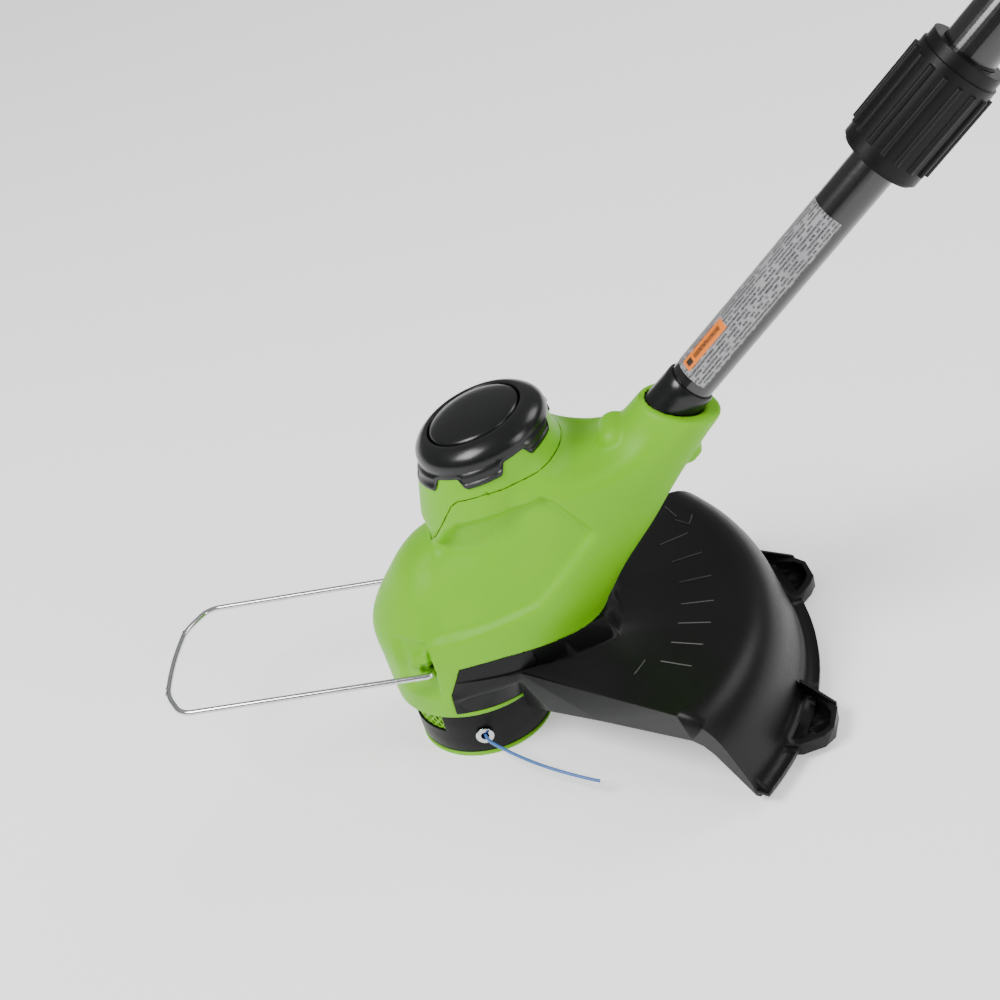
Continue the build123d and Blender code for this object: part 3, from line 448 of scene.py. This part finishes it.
def melt(a, b, reach):
    """The union of two fields, blended where they meet."""
    h = np.clip(0.5 + 0.5 * (b - a) / reach, 0, 1)
    return b * (1 - h) + a * h - reach * h * (1 - h)


def meet(a, b, reach):
    return -melt(-a, -b, reach)


def cap_frame(x, y, z):
    lean = math.radians(CAP_LEAN)
    dx, dz = x - CAP_CENTRE[0], z - CAP_CENTRE[2]
    return math.cos(lean) * dx + math.sin(lean) * dz, y, -math.sin(lean) * dx + math.cos(lean) * dz


def shaft_frame(x, y, z):
    """Up, side and along the shaft."""
    tilt = math.radians(SHAFT_TILT)
    dx, dz = x - SHAFT_FOOT[0], z - SHAFT_FOOT[2]
    return -math.sin(tilt) * dx + math.cos(tilt) * dz, y, math.cos(tilt) * dx + math.sin(tilt) * dz


# The lower edge of the raised side panel and the crease above it: X, Z
PANEL_LEDGE = [(-30, 78), (-9, 78.4), (6, 82.3), (20.6, 85.4), (34.3, 89.2), (47.9, 93.3), (55.5, 99.4),
               (62, 104.7), (74.2, 116.2), (82, 123)]
PANEL_CREASE = [(-8, 118), (-2, 118), (1.1, 116.1), (6.5, 122), (14.8, 136.1), (19.5, 140.3), (30.1, 142.7),
                (52, 145.4), (62, 148.3), (66.1, 145.3), (73.7, 135.2), (82, 123)]


def level_form(x, y, z):
    heights = [row[0] for row in SECTIONS]
    middle, front, rear, width, power = (
        spline(heights, [row[i] for row in SECTIONS], z) for i in range(1, 6))
    behind = x > middle
    length = np.where(behind, rear, front)
    power = np.where(behind, power, 2.0)
    across, aside = np.abs(x - middle) / length, np.abs(y) / width
    ratio = (across ** power + aside ** power) ** (1 / power) + 1e-9
    slope = np.hypot((across / ratio) ** (power - 1) / length, (aside / ratio) ** (power - 1) / width) + 1e-6
    return (ratio - 1) / slope


NECK_TOP_R = 33.0
NECK_FLARE = 5.0
NECK_FLARE_REACH = 20.0
NECK_DRIFT = 0.31
NECK_LENGTH = 52
SOCKET_R = 17.5
SOCKET_FLARE = 0.07
SOCKET_DROP = 2.4
SOCKET_SINK = 0.045
SOCKET_END = 36
MOUTH_SPOT = (132, 167)
MOUTH_AXIS = (0.358, 0.934)
PANEL_DEPTH = 3.6


def ramp(value, low, high):
    share = np.clip((value - low) / (high - low), 0, 1)
    return share * share * (3 - 2 * share)


def above_line(x, z, line):
    """How far a point stands above a side-view line, measured square to it."""
    xs, zs = np.array(line, float).T
    rise = np.interp(x + 1, xs, zs) - np.interp(x - 1, xs, zs)
    return (z - np.interp(x, xs, zs)) / np.hypot(1, rise / 2)


def neck_form(x, y, z):
    u, v, w = cap_frame(x, y, z)
    radius = NECK_TOP_R + NECK_FLARE * (1 - np.exp(np.minimum(w, 5) / NECK_FLARE_REACH))
    radius = radius - 0.3 * np.maximum(-w - 28, 0)
    side = (np.hypot(u - NECK_DRIFT * w, v) - radius) * 0.95
    return meet(side, -NECK_LENGTH - w, 3)


def socket_form(x, y, z):
    up, side, along = shaft_frame(x, y, z)
    back = SOCKET_END - along
    radius = SOCKET_R + SOCKET_FLARE * back + 0.3 * ramp(along, 24, 30)
    middle = -SOCKET_DROP - SOCKET_SINK * back
    return meet(np.hypot(up - middle, side) - radius, -70 - along, 3)


def boss_form(x, y, z):
    """The small raised block behind the saddle, where the two halves of the socket lock."""
    return np.hypot(np.hypot(x - 98, z - 155.5), np.maximum(np.abs(y) - 5, 0)) - 8.4


CATCH_DOWN = 22.0
CATCH_ALONG = 9
CATCH_HALF_WIDTH = 3
CATCH_HALF_LENGTH = 2
CATCH_R = 3.6


def catch_form(x, y, z):
    up, side, along = shaft_frame(x, y, z)
    across = np.hypot(up + CATCH_DOWN, np.maximum(np.abs(side) - CATCH_HALF_WIDTH, 0))
    return np.hypot(across, np.maximum(np.abs(along - CATCH_ALONG) - CATCH_HALF_LENGTH, 0)) - CATCH_R


HINGE = (-12.0, 62.0)


def hinge_relief(x, y, z):
    """The recess beside each wire arm, the rounded ear over the arm's end, and its hole."""
    apart = np.hypot(x - HINGE[0], z - HINGE[1])
    recess = ramp(-x, 9.8, 11.2) * ramp(x, -32, -24) * ramp(z, 44, 52) * ramp(-z, -79.5, -77)
    ear = ramp(-apart, -12.6, -11.2) * ramp(-x, 11.5, 13) * ramp(z, 62.5, 64.5)
    hollow = ramp(-apart, -6.6, -5.2) * ramp(-x, 9.8, 11.2) * ramp(z, 59, 60.5)
    hole = ramp(-apart, -2.6, -1.6)
    return ramp(np.abs(y), 24, 30) * (1.9 * recess - 2.4 * ear + 3.0 * hollow + 3.5 * hole)


def housing_field(points):
    x, y, z = points[:, 0], points[:, 1], points[:, 2]
    body = meet(level_form(x, y, z), z - 151.5, 8)
    solid = melt(body, neck_form(x, y, z), 4 + 18 * ramp(x, 40, 68))
    solid = melt(solid, socket_form(x, y, z), 15)
    solid = melt(solid, boss_form(x, y, z), 1.2)
    solid = melt(solid, catch_form(x, y, z), 2)
    side = ramp(np.abs(y), 12, 20) * ramp(x, -16, 0) * ramp(-x, -86, -78)
    sunk = ramp(above_line(x, z, PANEL_LEDGE), -2.7, 2.7) * ramp(-above_line(x, z, PANEL_CREASE), -2.7, 2.7)
    solid = solid + PANEL_DEPTH * side * sunk
    solid = solid + hinge_relief(x, y, z)
    w = cap_frame(x, y, z)[2]
    solid = meet(solid, w, 1.2)
    mouth = MOUTH_AXIS[0] * (x - MOUTH_SPOT[0]) + MOUTH_AXIS[1] * (z - MOUTH_SPOT[1])
    solid = meet(solid, mouth, 2.0)
    up, side, along = shaft_frame(x, y, z)
    bore = np.minimum(13.1 - np.hypot(up, side), along + 30)
    return meet(solid, bore, 0.8)


def surface_net(field, low, high, step):
    """The zero surface of a field as quads, with every point moved onto it."""
    axes = [np.arange(low[i], high[i] + step, step) for i in range(3)]
    grid = np.stack(np.meshgrid(*axes, indexing="ij"), -1)
    shape = grid.shape[:3]
    value = field(grid.reshape(-1, 3)).reshape(shape)
    inside = value < 0
    cells = tuple(n - 1 for n in shape)
    total = np.zeros(cells + (3,))
    count = np.zeros(cells)
    corners = [(i, j, k) for i in (0, 1) for j in (0, 1) for k in (0, 1)]

    def part(array, corner):
        return array[tuple(slice(c, c + n) for c, n in zip(corner, cells))]

    for axis in range(3):
        for corner in corners:
            if corner[axis]:
                continue
            other = tuple(c + (i == axis) for i, c in enumerate(corner))
            a, b = part(value, corner), part(value, other)
            cross = part(inside, corner) != part(inside, other)
            share = np.where(cross, a / np.where(cross, a - b, 1), 0)
            for i in range(3):
                at = corner[i] + (share if i == axis else 0)
                total[..., i] += np.where(cross, at, 0)
            count += cross
    used = count > 0
    index = -np.ones(cells, int)
    index[used] = np.arange(used.sum())
    where = np.argwhere(used)
    points = np.array(low) + (where + total[used] / count[used][:, None]) * step
    quads = []
    for axis in range(3):
        one, two = (axis + 1) % 3, (axis + 2) % 3
        move = [0, 0, 0]
        move[axis] = 1
        here = inside[:shape[0] - move[0], :shape[1] - move[1], :shape[2] - move[2]]
        there = inside[move[0]:, move[1]:, move[2]:]
        for i, j, k in np.argwhere(here != there):
            spot = [i, j, k]
            if 0 in (spot[one], spot[two]) or spot[one] >= cells[one] or spot[two] >= cells[two]:
                continue
            ring = []
            for da, db in ((-1, -1), (0, -1), (0, 0), (-1, 0)):
                cell = list(spot)
                cell[one] += da
                cell[two] += db
                ring.append(index[tuple(cell)])
            quads.append(ring if here[i, j, k] else ring[::-1])
    return settle(points, field, step), quads


def gradient(points, field, reach=0.2):
    slope = np.zeros_like(points)
    for i in range(3):
        shift = np.zeros(3)
        shift[i] = reach
        slope[:, i] = (field(points + shift) - field(points - shift)) / (2 * reach)
    return slope


def settle(points, field, most):
    for _ in range(4):
        slope = gradient(points, field)
        size = (slope ** 2).sum(1) + 1e-9
        move = -(field(points) / size)[:, None] * slope
        length = np.linalg.norm(move, axis=1)[:, None] + 1e-9
        points = points + move * np.minimum(1, most / length)
    return points


# ---------------------------------------------------------------- motor housing

COVER_SEAM = [(-60, 119.5), (0, 119.5), (9.2, 136.5), (18.4, 150.9), (22.3, 153.9), (35, 156.6),
              (47.6, 157.4), (58, 158.8), (70, 160), (80, 160), (85, 205), (-60, 205)]
GUARD_EDGE = [(-6.3, 34), (-5.5, 47.8), (2.3, 64.1), (27.6, 67.7), (55.4, 69.1), (75.4, 68.3)]
UNDERSIDE = GUARD_EDGE + [(100, 68.3), (100, 34)]
RIM_Z = 31.5
HOUSING_WALL = 2.2
SLIVER = 0.3
NET_LOW = (-50, -50, 28)
NET_HIGH = (155, 50, 192)
NET_STEP = 1.35
SEAM_INSET = 0.16
SEAM_SINK = 0.3
SEAM_LOW_Z = 33
COLLAR_SINK = 0.5
COLLAR_REAR_X = 40.0


def cut_along(mesh, outline, closed=False):
    """Cuts a bmesh along each straight run of a side-view outline."""
    runs = list(zip(outline, outline[1:] + (outline[:1] if closed else [])))
    for (x0, z0), (x1, z1) in runs:
        if (x0, z0) == (x1, z1):
            continue
        normal = Vector((z1 - z0, 0, x0 - x1)).normalized()
        bmesh.ops.bisect_plane(mesh, geom=mesh.verts[:] + mesh.edges[:] + mesh.faces[:], dist=1e-5,
                               plane_co=(x0, 0, z0), plane_no=normal)


def remove_faces(mesh, unwanted):
    bmesh.ops.delete(mesh, geom=[f for f in mesh.faces if unwanted(f.calc_center_median())], context="FACES")


def roll_edges(mesh, inset, sink, seen=lambda point: True):
    """Draws open edges back and inwards a little, so that seams read as moulded edges."""
    mesh.normal_update()
    moves = {}
    for vert in mesh.verts:
        if not vert.is_boundary or not seen(vert.co):
            continue
        centre = sum((f.calc_center_median() for f in vert.link_faces), Vector()) / len(vert.link_faces)
        away = centre - vert.co
        away -= vert.normal * away.dot(vert.normal)
        if away.length > 1e-6:
            moves[vert] = away.normalized() * inset - vert.normal * sink
    for vert, move in moves.items():
        vert.co += move


def make_guard_collar(skin):
    """The guard's black collar, which carries the housing's side surface on below its lower edge."""
    remove_faces(skin, lambda c: c.x > COLLAR_REAR_X or not in_outline(np.array([c.x]), np.array([c.z]),
                                                                       UNDERSIDE)[0])
    bmesh.ops.remove_doubles(skin, verts=skin.verts, dist=SLIVER)
    skin.normal_update()
    for vert, move in [(v, v.normal * -COLLAR_SINK) for v in skin.verts]:
        vert.co += move
    finish_shell(skin, "guard_collar", 2.0, 40, "black_plastic", [])


def finish_shell(part, name, thickness, smooth, slot, replaced):
    """Turns a skin in millimetres into a walled piece of the motor head."""
    mesh = bpy.data.meshes.new(name)
    bmesh.ops.scale(part, vec=(MM, MM, MM), verts=part.verts)
    part.to_mesh(mesh)
    part.free()
    piece = bpy.data.objects.new(name, mesh)
    bpy.context.scene.collection.objects.link(piece)
    wall = piece.modifiers.new("wall", "SOLIDIFY")
    wall.thickness = thickness * MM
    wall.offset = -1
    apply_modifiers(piece)
    shade(piece, smooth)
    dress(piece, slot, "motor_head", replaced)


def make_housing():
    points, quads = surface_net(housing_field, NET_LOW, NET_HIGH, NET_STEP)
    whole = bmesh.new()
    made = [whole.verts.new(p) for p in points]
    for quad in quads:
        whole.faces.new([made[i] for i in quad])
    whole.faces.ensure_lookup_table()
    bmesh.ops.bisect_plane(whole, geom=whole.verts[:] + whole.edges[:] + whole.faces[:], dist=1e-5,
                           plane_co=(0, 0, RIM_Z), plane_no=(0, 0, 1), clear_inner=True)
    cut_along(whole, UNDERSIDE, closed=True)
    cut_along(whole, COVER_SEAM[:-2])
    make_guard_collar(whole.copy())
    remove_faces(whole, lambda c: in_outline(np.array([c.x]), np.array([c.z]), UNDERSIDE)[0])
    for name, wanted, node_name in (("housing_shell", False, "housing_body"),
                                    ("housing_cover_shell", True, "housing_cover")):
        part = whole.copy()
        remove_faces(part, lambda c: in_outline(np.array([c.x]), np.array([c.z]), COVER_SEAM)[0] != wanted)
        bmesh.ops.remove_doubles(part, verts=part.verts, dist=SLIVER)
        roll_edges(part, SEAM_INSET, SEAM_SINK, lambda p: p.z > SEAM_LOW_Z)
        part.normal_update()
        finish_shell(part, name, HOUSING_WALL, 50, "green_plastic", [node_name])
    whole.free()


# ---------------------------------------------------------------- cutting line

# The route of the cutting line's free end, from inside the eyelet to its tip
CUT_LINE = [
    (0.0030, -0.0345, 0.0140),
    (0.0046, -0.0410, 0.0146),
    (0.0110, -0.0476, 0.0148),
    (0.0205, -0.0554, 0.0139),
    (0.0315, -0.0630, 0.0128),
    (0.0438, -0.0700, 0.0117),
    (0.0570, -0.0766, 0.0107),
    (0.0616, -0.0784, 0.0104),
]
CUT_LINE_R = 0.00085


def make_cut_line():
    curve = bpy.data.curves.new("trimmer_line", "CURVE")
    curve.dimensions = "3D"
    spline = curve.splines.new("NURBS")
    spline.points.add(len(CUT_LINE) - 1)
    for point, place in zip(spline.points, CUT_LINE):
        point.co = (*place, 1)
    spline.order_u = 3
    spline.use_endpoint_u = True
    curve.resolution_u = 16
    curve.bevel_depth = CUT_LINE_R
    curve.bevel_resolution = 4
    curve.use_fill_caps = True
    piece = bpy.data.objects.new("trimmer_line", curve)
    bpy.context.scene.collection.objects.link(piece)
    dress(piece, "spool_line", "line_head", ["cut_line"])


# ---------------------------------------------------------------- outer mouldings

MOULDINGS = {
    "debris_guard": 28, "line_drum": 35, "spool_cap": 35, "line_eyelet": 40, "wire_guide": 60,
    "upper_tube": 35, "lower_tube": 35, "rear_handle_left": 32, "rear_handle_right": 32, "grip_pad": 35,
    "trigger": 35, "front_loop": 45, "front_grip": 45, "front_clamp_top": 35, "front_clamp_bottom": 35,
    "front_knob": 35, "lock_button": 40, "battery_case": 32, "battery_lid": 32, "battery_release": 35,
    "line_cutter": 30,
}
WELD_GAP = 0.01


def make_mouldings():
    """Joins the facets of each outer moulding so that its curves shade as curves."""
    body_of = {name: body for body, names in frame["record"]["behaviour"]["bodies"].items() for name in names}
    for name, angle in MOULDINGS.items():
        skin = bmesh.new()
        skin.from_mesh(nodes[name].data)
        bmesh.ops.remove_doubles(skin, verts=skin.verts, dist=WELD_GAP * MM)
        mesh = bpy.data.meshes.new(name + "_skin")
        skin.to_mesh(mesh)
        skin.free()
        piece = bpy.data.objects.new(name + "_skin", mesh)
        bpy.context.scene.collection.objects.link(piece)
        shade(piece, angle)
        dress(piece, slot_of[name], body_of[name], [name])


# ---------------------------------------------------------------- bump cap

RING_STEPS = 180
RING_SIDE_R = 33.85
RING_FLARE = 0.09
# How far the side drifts across the leaning axis for each millimetre down, to follow the upright neck
RING_DRIFT = 0.31
RING_WALL = 1.3
TABS = 6
TAB_HALF_SHARE = 0.34
TAB_RAMP_SHARE = 0.085
# Rows down the ring's side: how far down between the tabs, how much further on them, how far they stand out
TAB_ROWS = [(0.9, 0.3, 0.5), (1.2, 0.9, 0.9), (1.6, 1.2, 0.2), (1.9, 3.4, 0.3), (2.1, 3.8, 1.1),
            (2.3, 5.0, 1.2), (2.4, 5.6, 0.7)]
# Radius and height along the cap's axis: the ring's section, then the dome's
RING_SECTION = [(33.7, -0.4), (33.75, 1.2), (33.5, 3.0), (32.6, 4.9), (30.9, 6.8), (28.6, 8.5), (26.6, 9.5),
                (25.2, 9.8), (24.4, 9.6), (24.0, 8.9), (23.9, 6.0)]
DOME_SECTION = [(23.3, 6.2), (23.2, 9.1), (22.8, 9.9), (21.8, 10.5), (19.5, 11.5), (16.0, 12.6), (12.0, 13.4),
                (8.0, 13.9), (4.0, 14.15), (1.2, 14.2)]


def cap_point(radius, angle, height):
    """A place round the cap's leaning axis."""
    lean = math.radians(CAP_LEAN)
    side, up = radius * math.sin(angle), radius * math.cos(angle)
    return (CAP_CENTRE[0] + up * math.cos(lean) - height * math.sin(lean), side,
            CAP_CENTRE[2] + up * math.sin(lean) + height * math.cos(lean))


def revolve(section, steps, place, close_top=False):
    points = [place(radius, 2 * math.pi * step / steps, height) for radius, height in section
              for step in range(steps)]
    faces = []
    for row in range(len(section) - 1):
        for step in range(steps):
            after = (step + 1) % steps
            faces.append((row * steps + step, row * steps + after, (row + 1) * steps + after,
                          (row + 1) * steps + step))
    if close_top:
        faces.append(tuple(range((len(section) - 1) * steps, len(section) * steps)))
    return points, faces


def tab_share(angle):
    """From 0 between the ring's six tabs to 1 across each of them."""
    turn = (angle * TABS / (2 * math.pi)) % 1
    return min(max((TAB_HALF_SHARE - abs(turn - 0.5)) / TAB_RAMP_SHARE, 0), 1)


def make_bump_cap():
    points, faces = revolve(RING_SECTION, RING_STEPS, cap_point)
    start = len(points)
    for row, (drop, tab_drop, out) in enumerate(TAB_ROWS):
        for step in range(RING_STEPS):
            angle = 2 * math.pi * step / RING_STEPS
            share = tab_share(angle)
            depth = drop + tab_drop * share
            drift = -RING_DRIFT * depth * math.cos(angle)
            radius = RING_SIDE_R + RING_FLARE * depth + drift + out * share
            points.append(cap_point(radius, angle, -depth))
            after = (step + 1) % RING_STEPS
            above = start + (row - 1) * RING_STEPS if row else 0
            here = start + row * RING_STEPS
            faces.append((here + step, here + after, above + after, above + step))
    ring = add_piece("bump_cap_ring", points, faces, 40)
    wall = ring.modifiers.new("wall", "SOLIDIFY")
    wall.thickness = RING_WALL * MM
    wall.offset = -1
    apply_modifiers(ring)
    shade(ring, 40)
    dress(ring, "gloss_black", "motor_head", ["cap_ring"])
    points, faces = revolve(DOME_SECTION, RING_STEPS, cap_point, close_top=True)
    dome = add_piece("bump_cap_dome", points, faces, 40)
    dress(dome, "gloss_black", "motor_head", ["cap_dome"])


# ---------------------------------------------------------------- sleeve

SLEEVE_STEPS = 96
# Distance along the shaft and radius of the sleeve that flares into the housing's mouth
SLEEVE_SECTION = [(39.0, 11.05), (39.0, 11.9), (38.4, 12.3), (34.0, 12.35), (28.0, 12.5), (20.0, 12.8),
                  (12.0, 13.0), (2.0, 13.0)]


def shaft_point(radius, angle, along):
    """A place round the shaft: the angle runs from its upper side towards the near side."""
    tilt = math.radians(SHAFT_TILT)
    up, side = radius * math.cos(angle), -radius * math.sin(angle)
    return (SHAFT_FOOT[0] + along * math.cos(tilt) - up * math.sin(tilt), side,
            SHAFT_FOOT[2] + along * math.sin(tilt) + up * math.cos(tilt))


def make_sleeve():
    section = [(radius, along) for along, radius in SLEEVE_SECTION]
    sleeve = add_piece("shaft_sleeve", *revolve(section, SLEEVE_STEPS, shaft_point), 35)
    dress(sleeve, "gloss_black", "lower_shaft", ["tube_sleeve"])


# ---------------------------------------------------------------- spool behind the drum's windows

GRILLE_MIDDLES = (205, 25)
GRILLE_R = 33.2
GRILLE_HALF_ANGLE = 39
GRILLE_LOW_Z = 15.5
GRILLE_TOP_Z = 29.0
GRILLE_ROWS = 3
GRILLE_COLUMNS = 11
GRILLE_HOLE_R = 1.15
GRILLE_WALL = 0.9


def perforated_band(radius, middle, half_angle, low, high, rows, columns, hole_r):
    """A curved strip with round holes, as points and faces."""
    points, faces = [], []
    cell_z = (high - low) / rows
    cell_turn = 2 * half_angle / columns
    sides = 8
    for row in range(rows):
        for column in range(columns):
            turn = middle - half_angle + (column + 0.5) * cell_turn
            height = low + (row + 0.5) * cell_z
            base = len(points)
            for ring in (0, 1):
                for k in range(sides):
                    angle = 2 * math.pi * (k + 0.5) / sides
                    across, up = math.cos(angle), math.sin(angle)
                    if ring:
                        share = max(abs(across), abs(up))
                        along, lift = across / share * radius * cell_turn / 2, up / share * cell_z / 2
                    else:
                        along, lift = across * hole_r, up * hole_r
                    spot = turn + along / radius
                    points.append((radius * math.cos(spot), radius * math.sin(spot), height + lift))
            for k in range(sides):
                after = (k + 1) % sides
                faces.append((base + k, base + after, base + sides + after, base + sides + k))
    return points, faces


def make_window_grilles():
    for number, middle in enumerate(GRILLE_MIDDLES):
        points, faces = perforated_band(GRILLE_R, math.radians(middle), math.radians(GRILLE_HALF_ANGLE),
                                        GRILLE_LOW_Z, GRILLE_TOP_Z, GRILLE_ROWS, GRILLE_COLUMNS,
                                        GRILLE_HOLE_R)
        grille = add_piece(f"spool_grille_{number + 1}", points, faces, 40)
        wall = grille.modifiers.new("wall", "SOLIDIFY")
        wall.thickness = GRILLE_WALL * MM
        wall.offset = -1
        apply_modifiers(grille)
        shade(grille, 40)
        dress(grille, "green_plastic", "line_head")


# ---------------------------------------------------------------- guard's marks

PLATE_TOP = 55.0
MARK_WIDTH = 0.7
ARROW_WIDTH = 0.8
MARK_HEIGHT = 0.35
MARK_ANGLES = (24, 15, 5.5, -3.8, -11.5, -19, -26.3)


def stroke(points, width, height):
    """A low rounded rib along points on the guard's plate."""
    made, faces = [], []
    for number, (x, y) in enumerate(points):
        ahead = Vector(points[min(number + 1, len(points) - 1)]) - Vector(points[max(number - 1, 0)])
        across = Vector((-ahead.y, ahead.x)).normalized() * width / 2
        for share, lift in ((-1, -0.15), (-0.5, height), (0.5, height), (1, -0.15)):
            made.append((x + across.x * share, y + across.y * share, PLATE_TOP + lift))
        if number:
            base = 4 * number
            faces += [(base - 4 + k, base - 3 + k, base + 1 + k, base + k) for k in range(3)]
    faces += [(0, 1, 2, 3), tuple(len(made) - 1 - k for k in range(4))]
    return made, faces


def join(parts):
    points, faces = [], []
    for more_points, more_faces in parts:
        base = len(points)
        points += more_points
        faces += [tuple(base + k for k in face) for face in more_faces]
    return points, faces


def polar(radius, degrees):
    return (radius * math.cos(math.radians(degrees)), radius * math.sin(math.radians(degrees)))


# Side of the guard, middle angle and how far the web leans round the rim, in degrees
LUG_MIDDLES = ((-1, 18.4, -6.2), (1, 20.5, 7.4))
GUSSET_HALF_THICK = 0.9
GUSSET_START_R = 167.5
GUSSET_RUN = 19.7
GUSSET_EASE = 0.45
GUSSET_PROFILE = [(167.0, 18.5), (170.0, 17.5), (185.5, 11.0), (185.5, 7.0), (167.0, 7.0)]


def make_lug_gussets():
    """A sloping web on each bracket, from the skirt down to the bracket's end."""
    parts = []
    for side, middle, reach in LUG_MIDDLES:
        points = []
        for shift in (-GUSSET_HALF_THICK, GUSSET_HALF_THICK):
            for radius, z in GUSSET_PROFILE:
                outward = (radius - GUSSET_START_R) / GUSSET_RUN
                turn = middle + reach * (1 - GUSSET_EASE * outward) + math.degrees(shift / radius)
                points.append((*polar(radius, side * turn), z))
        count = len(GUSSET_PROFILE)
        faces = [tuple(range(count)), tuple(range(2 * count - 1, count - 1, -1))]
        faces += [(k, (k + 1) % count, count + (k + 1) % count, count + k) for k in range(count)]
        parts.append((points, faces))
    gussets = add_piece("lug_gussets", *join(parts), 30)
    dress(gussets, "black_plastic", "motor_head")


def make_guard_marks():
    parts = [stroke([polar(radius, angle) for radius in (112, 117, 123, 128.5)], MARK_WIDTH, MARK_HEIGHT)
             for angle in MARK_ANGLES]
    parts.append(stroke([(106, 79.3), (108.4, 75), (110.4, 71.5), (112, 68.2)], ARROW_WIDTH, MARK_HEIGHT))
    parts.append(stroke([(111, 65.8), (115, 62.6), (118.2, 60.1), (119.3, 64), (120.1, 67.8)],
                        ARROW_WIDTH, MARK_HEIGHT))
    parts.append(stroke([polar(104, angle) for angle in (-33, -31, -29, -27)], MARK_WIDTH, MARK_HEIGHT))
    marks = add_piece("guard_marks", *join(parts), 40)
    # The marks take the lighter grey that paints the highlight on their edges.
    dress(marks, "black_plastic", "motor_head", finish="painted_highlight_rib")


make_camera()
make_stage()
dress_cad_nodes()
make_housing()
make_mouldings()
make_cut_line()
make_bump_cap()
make_guard_marks()
make_lug_gussets()
make_window_grilles()
make_sleeve()
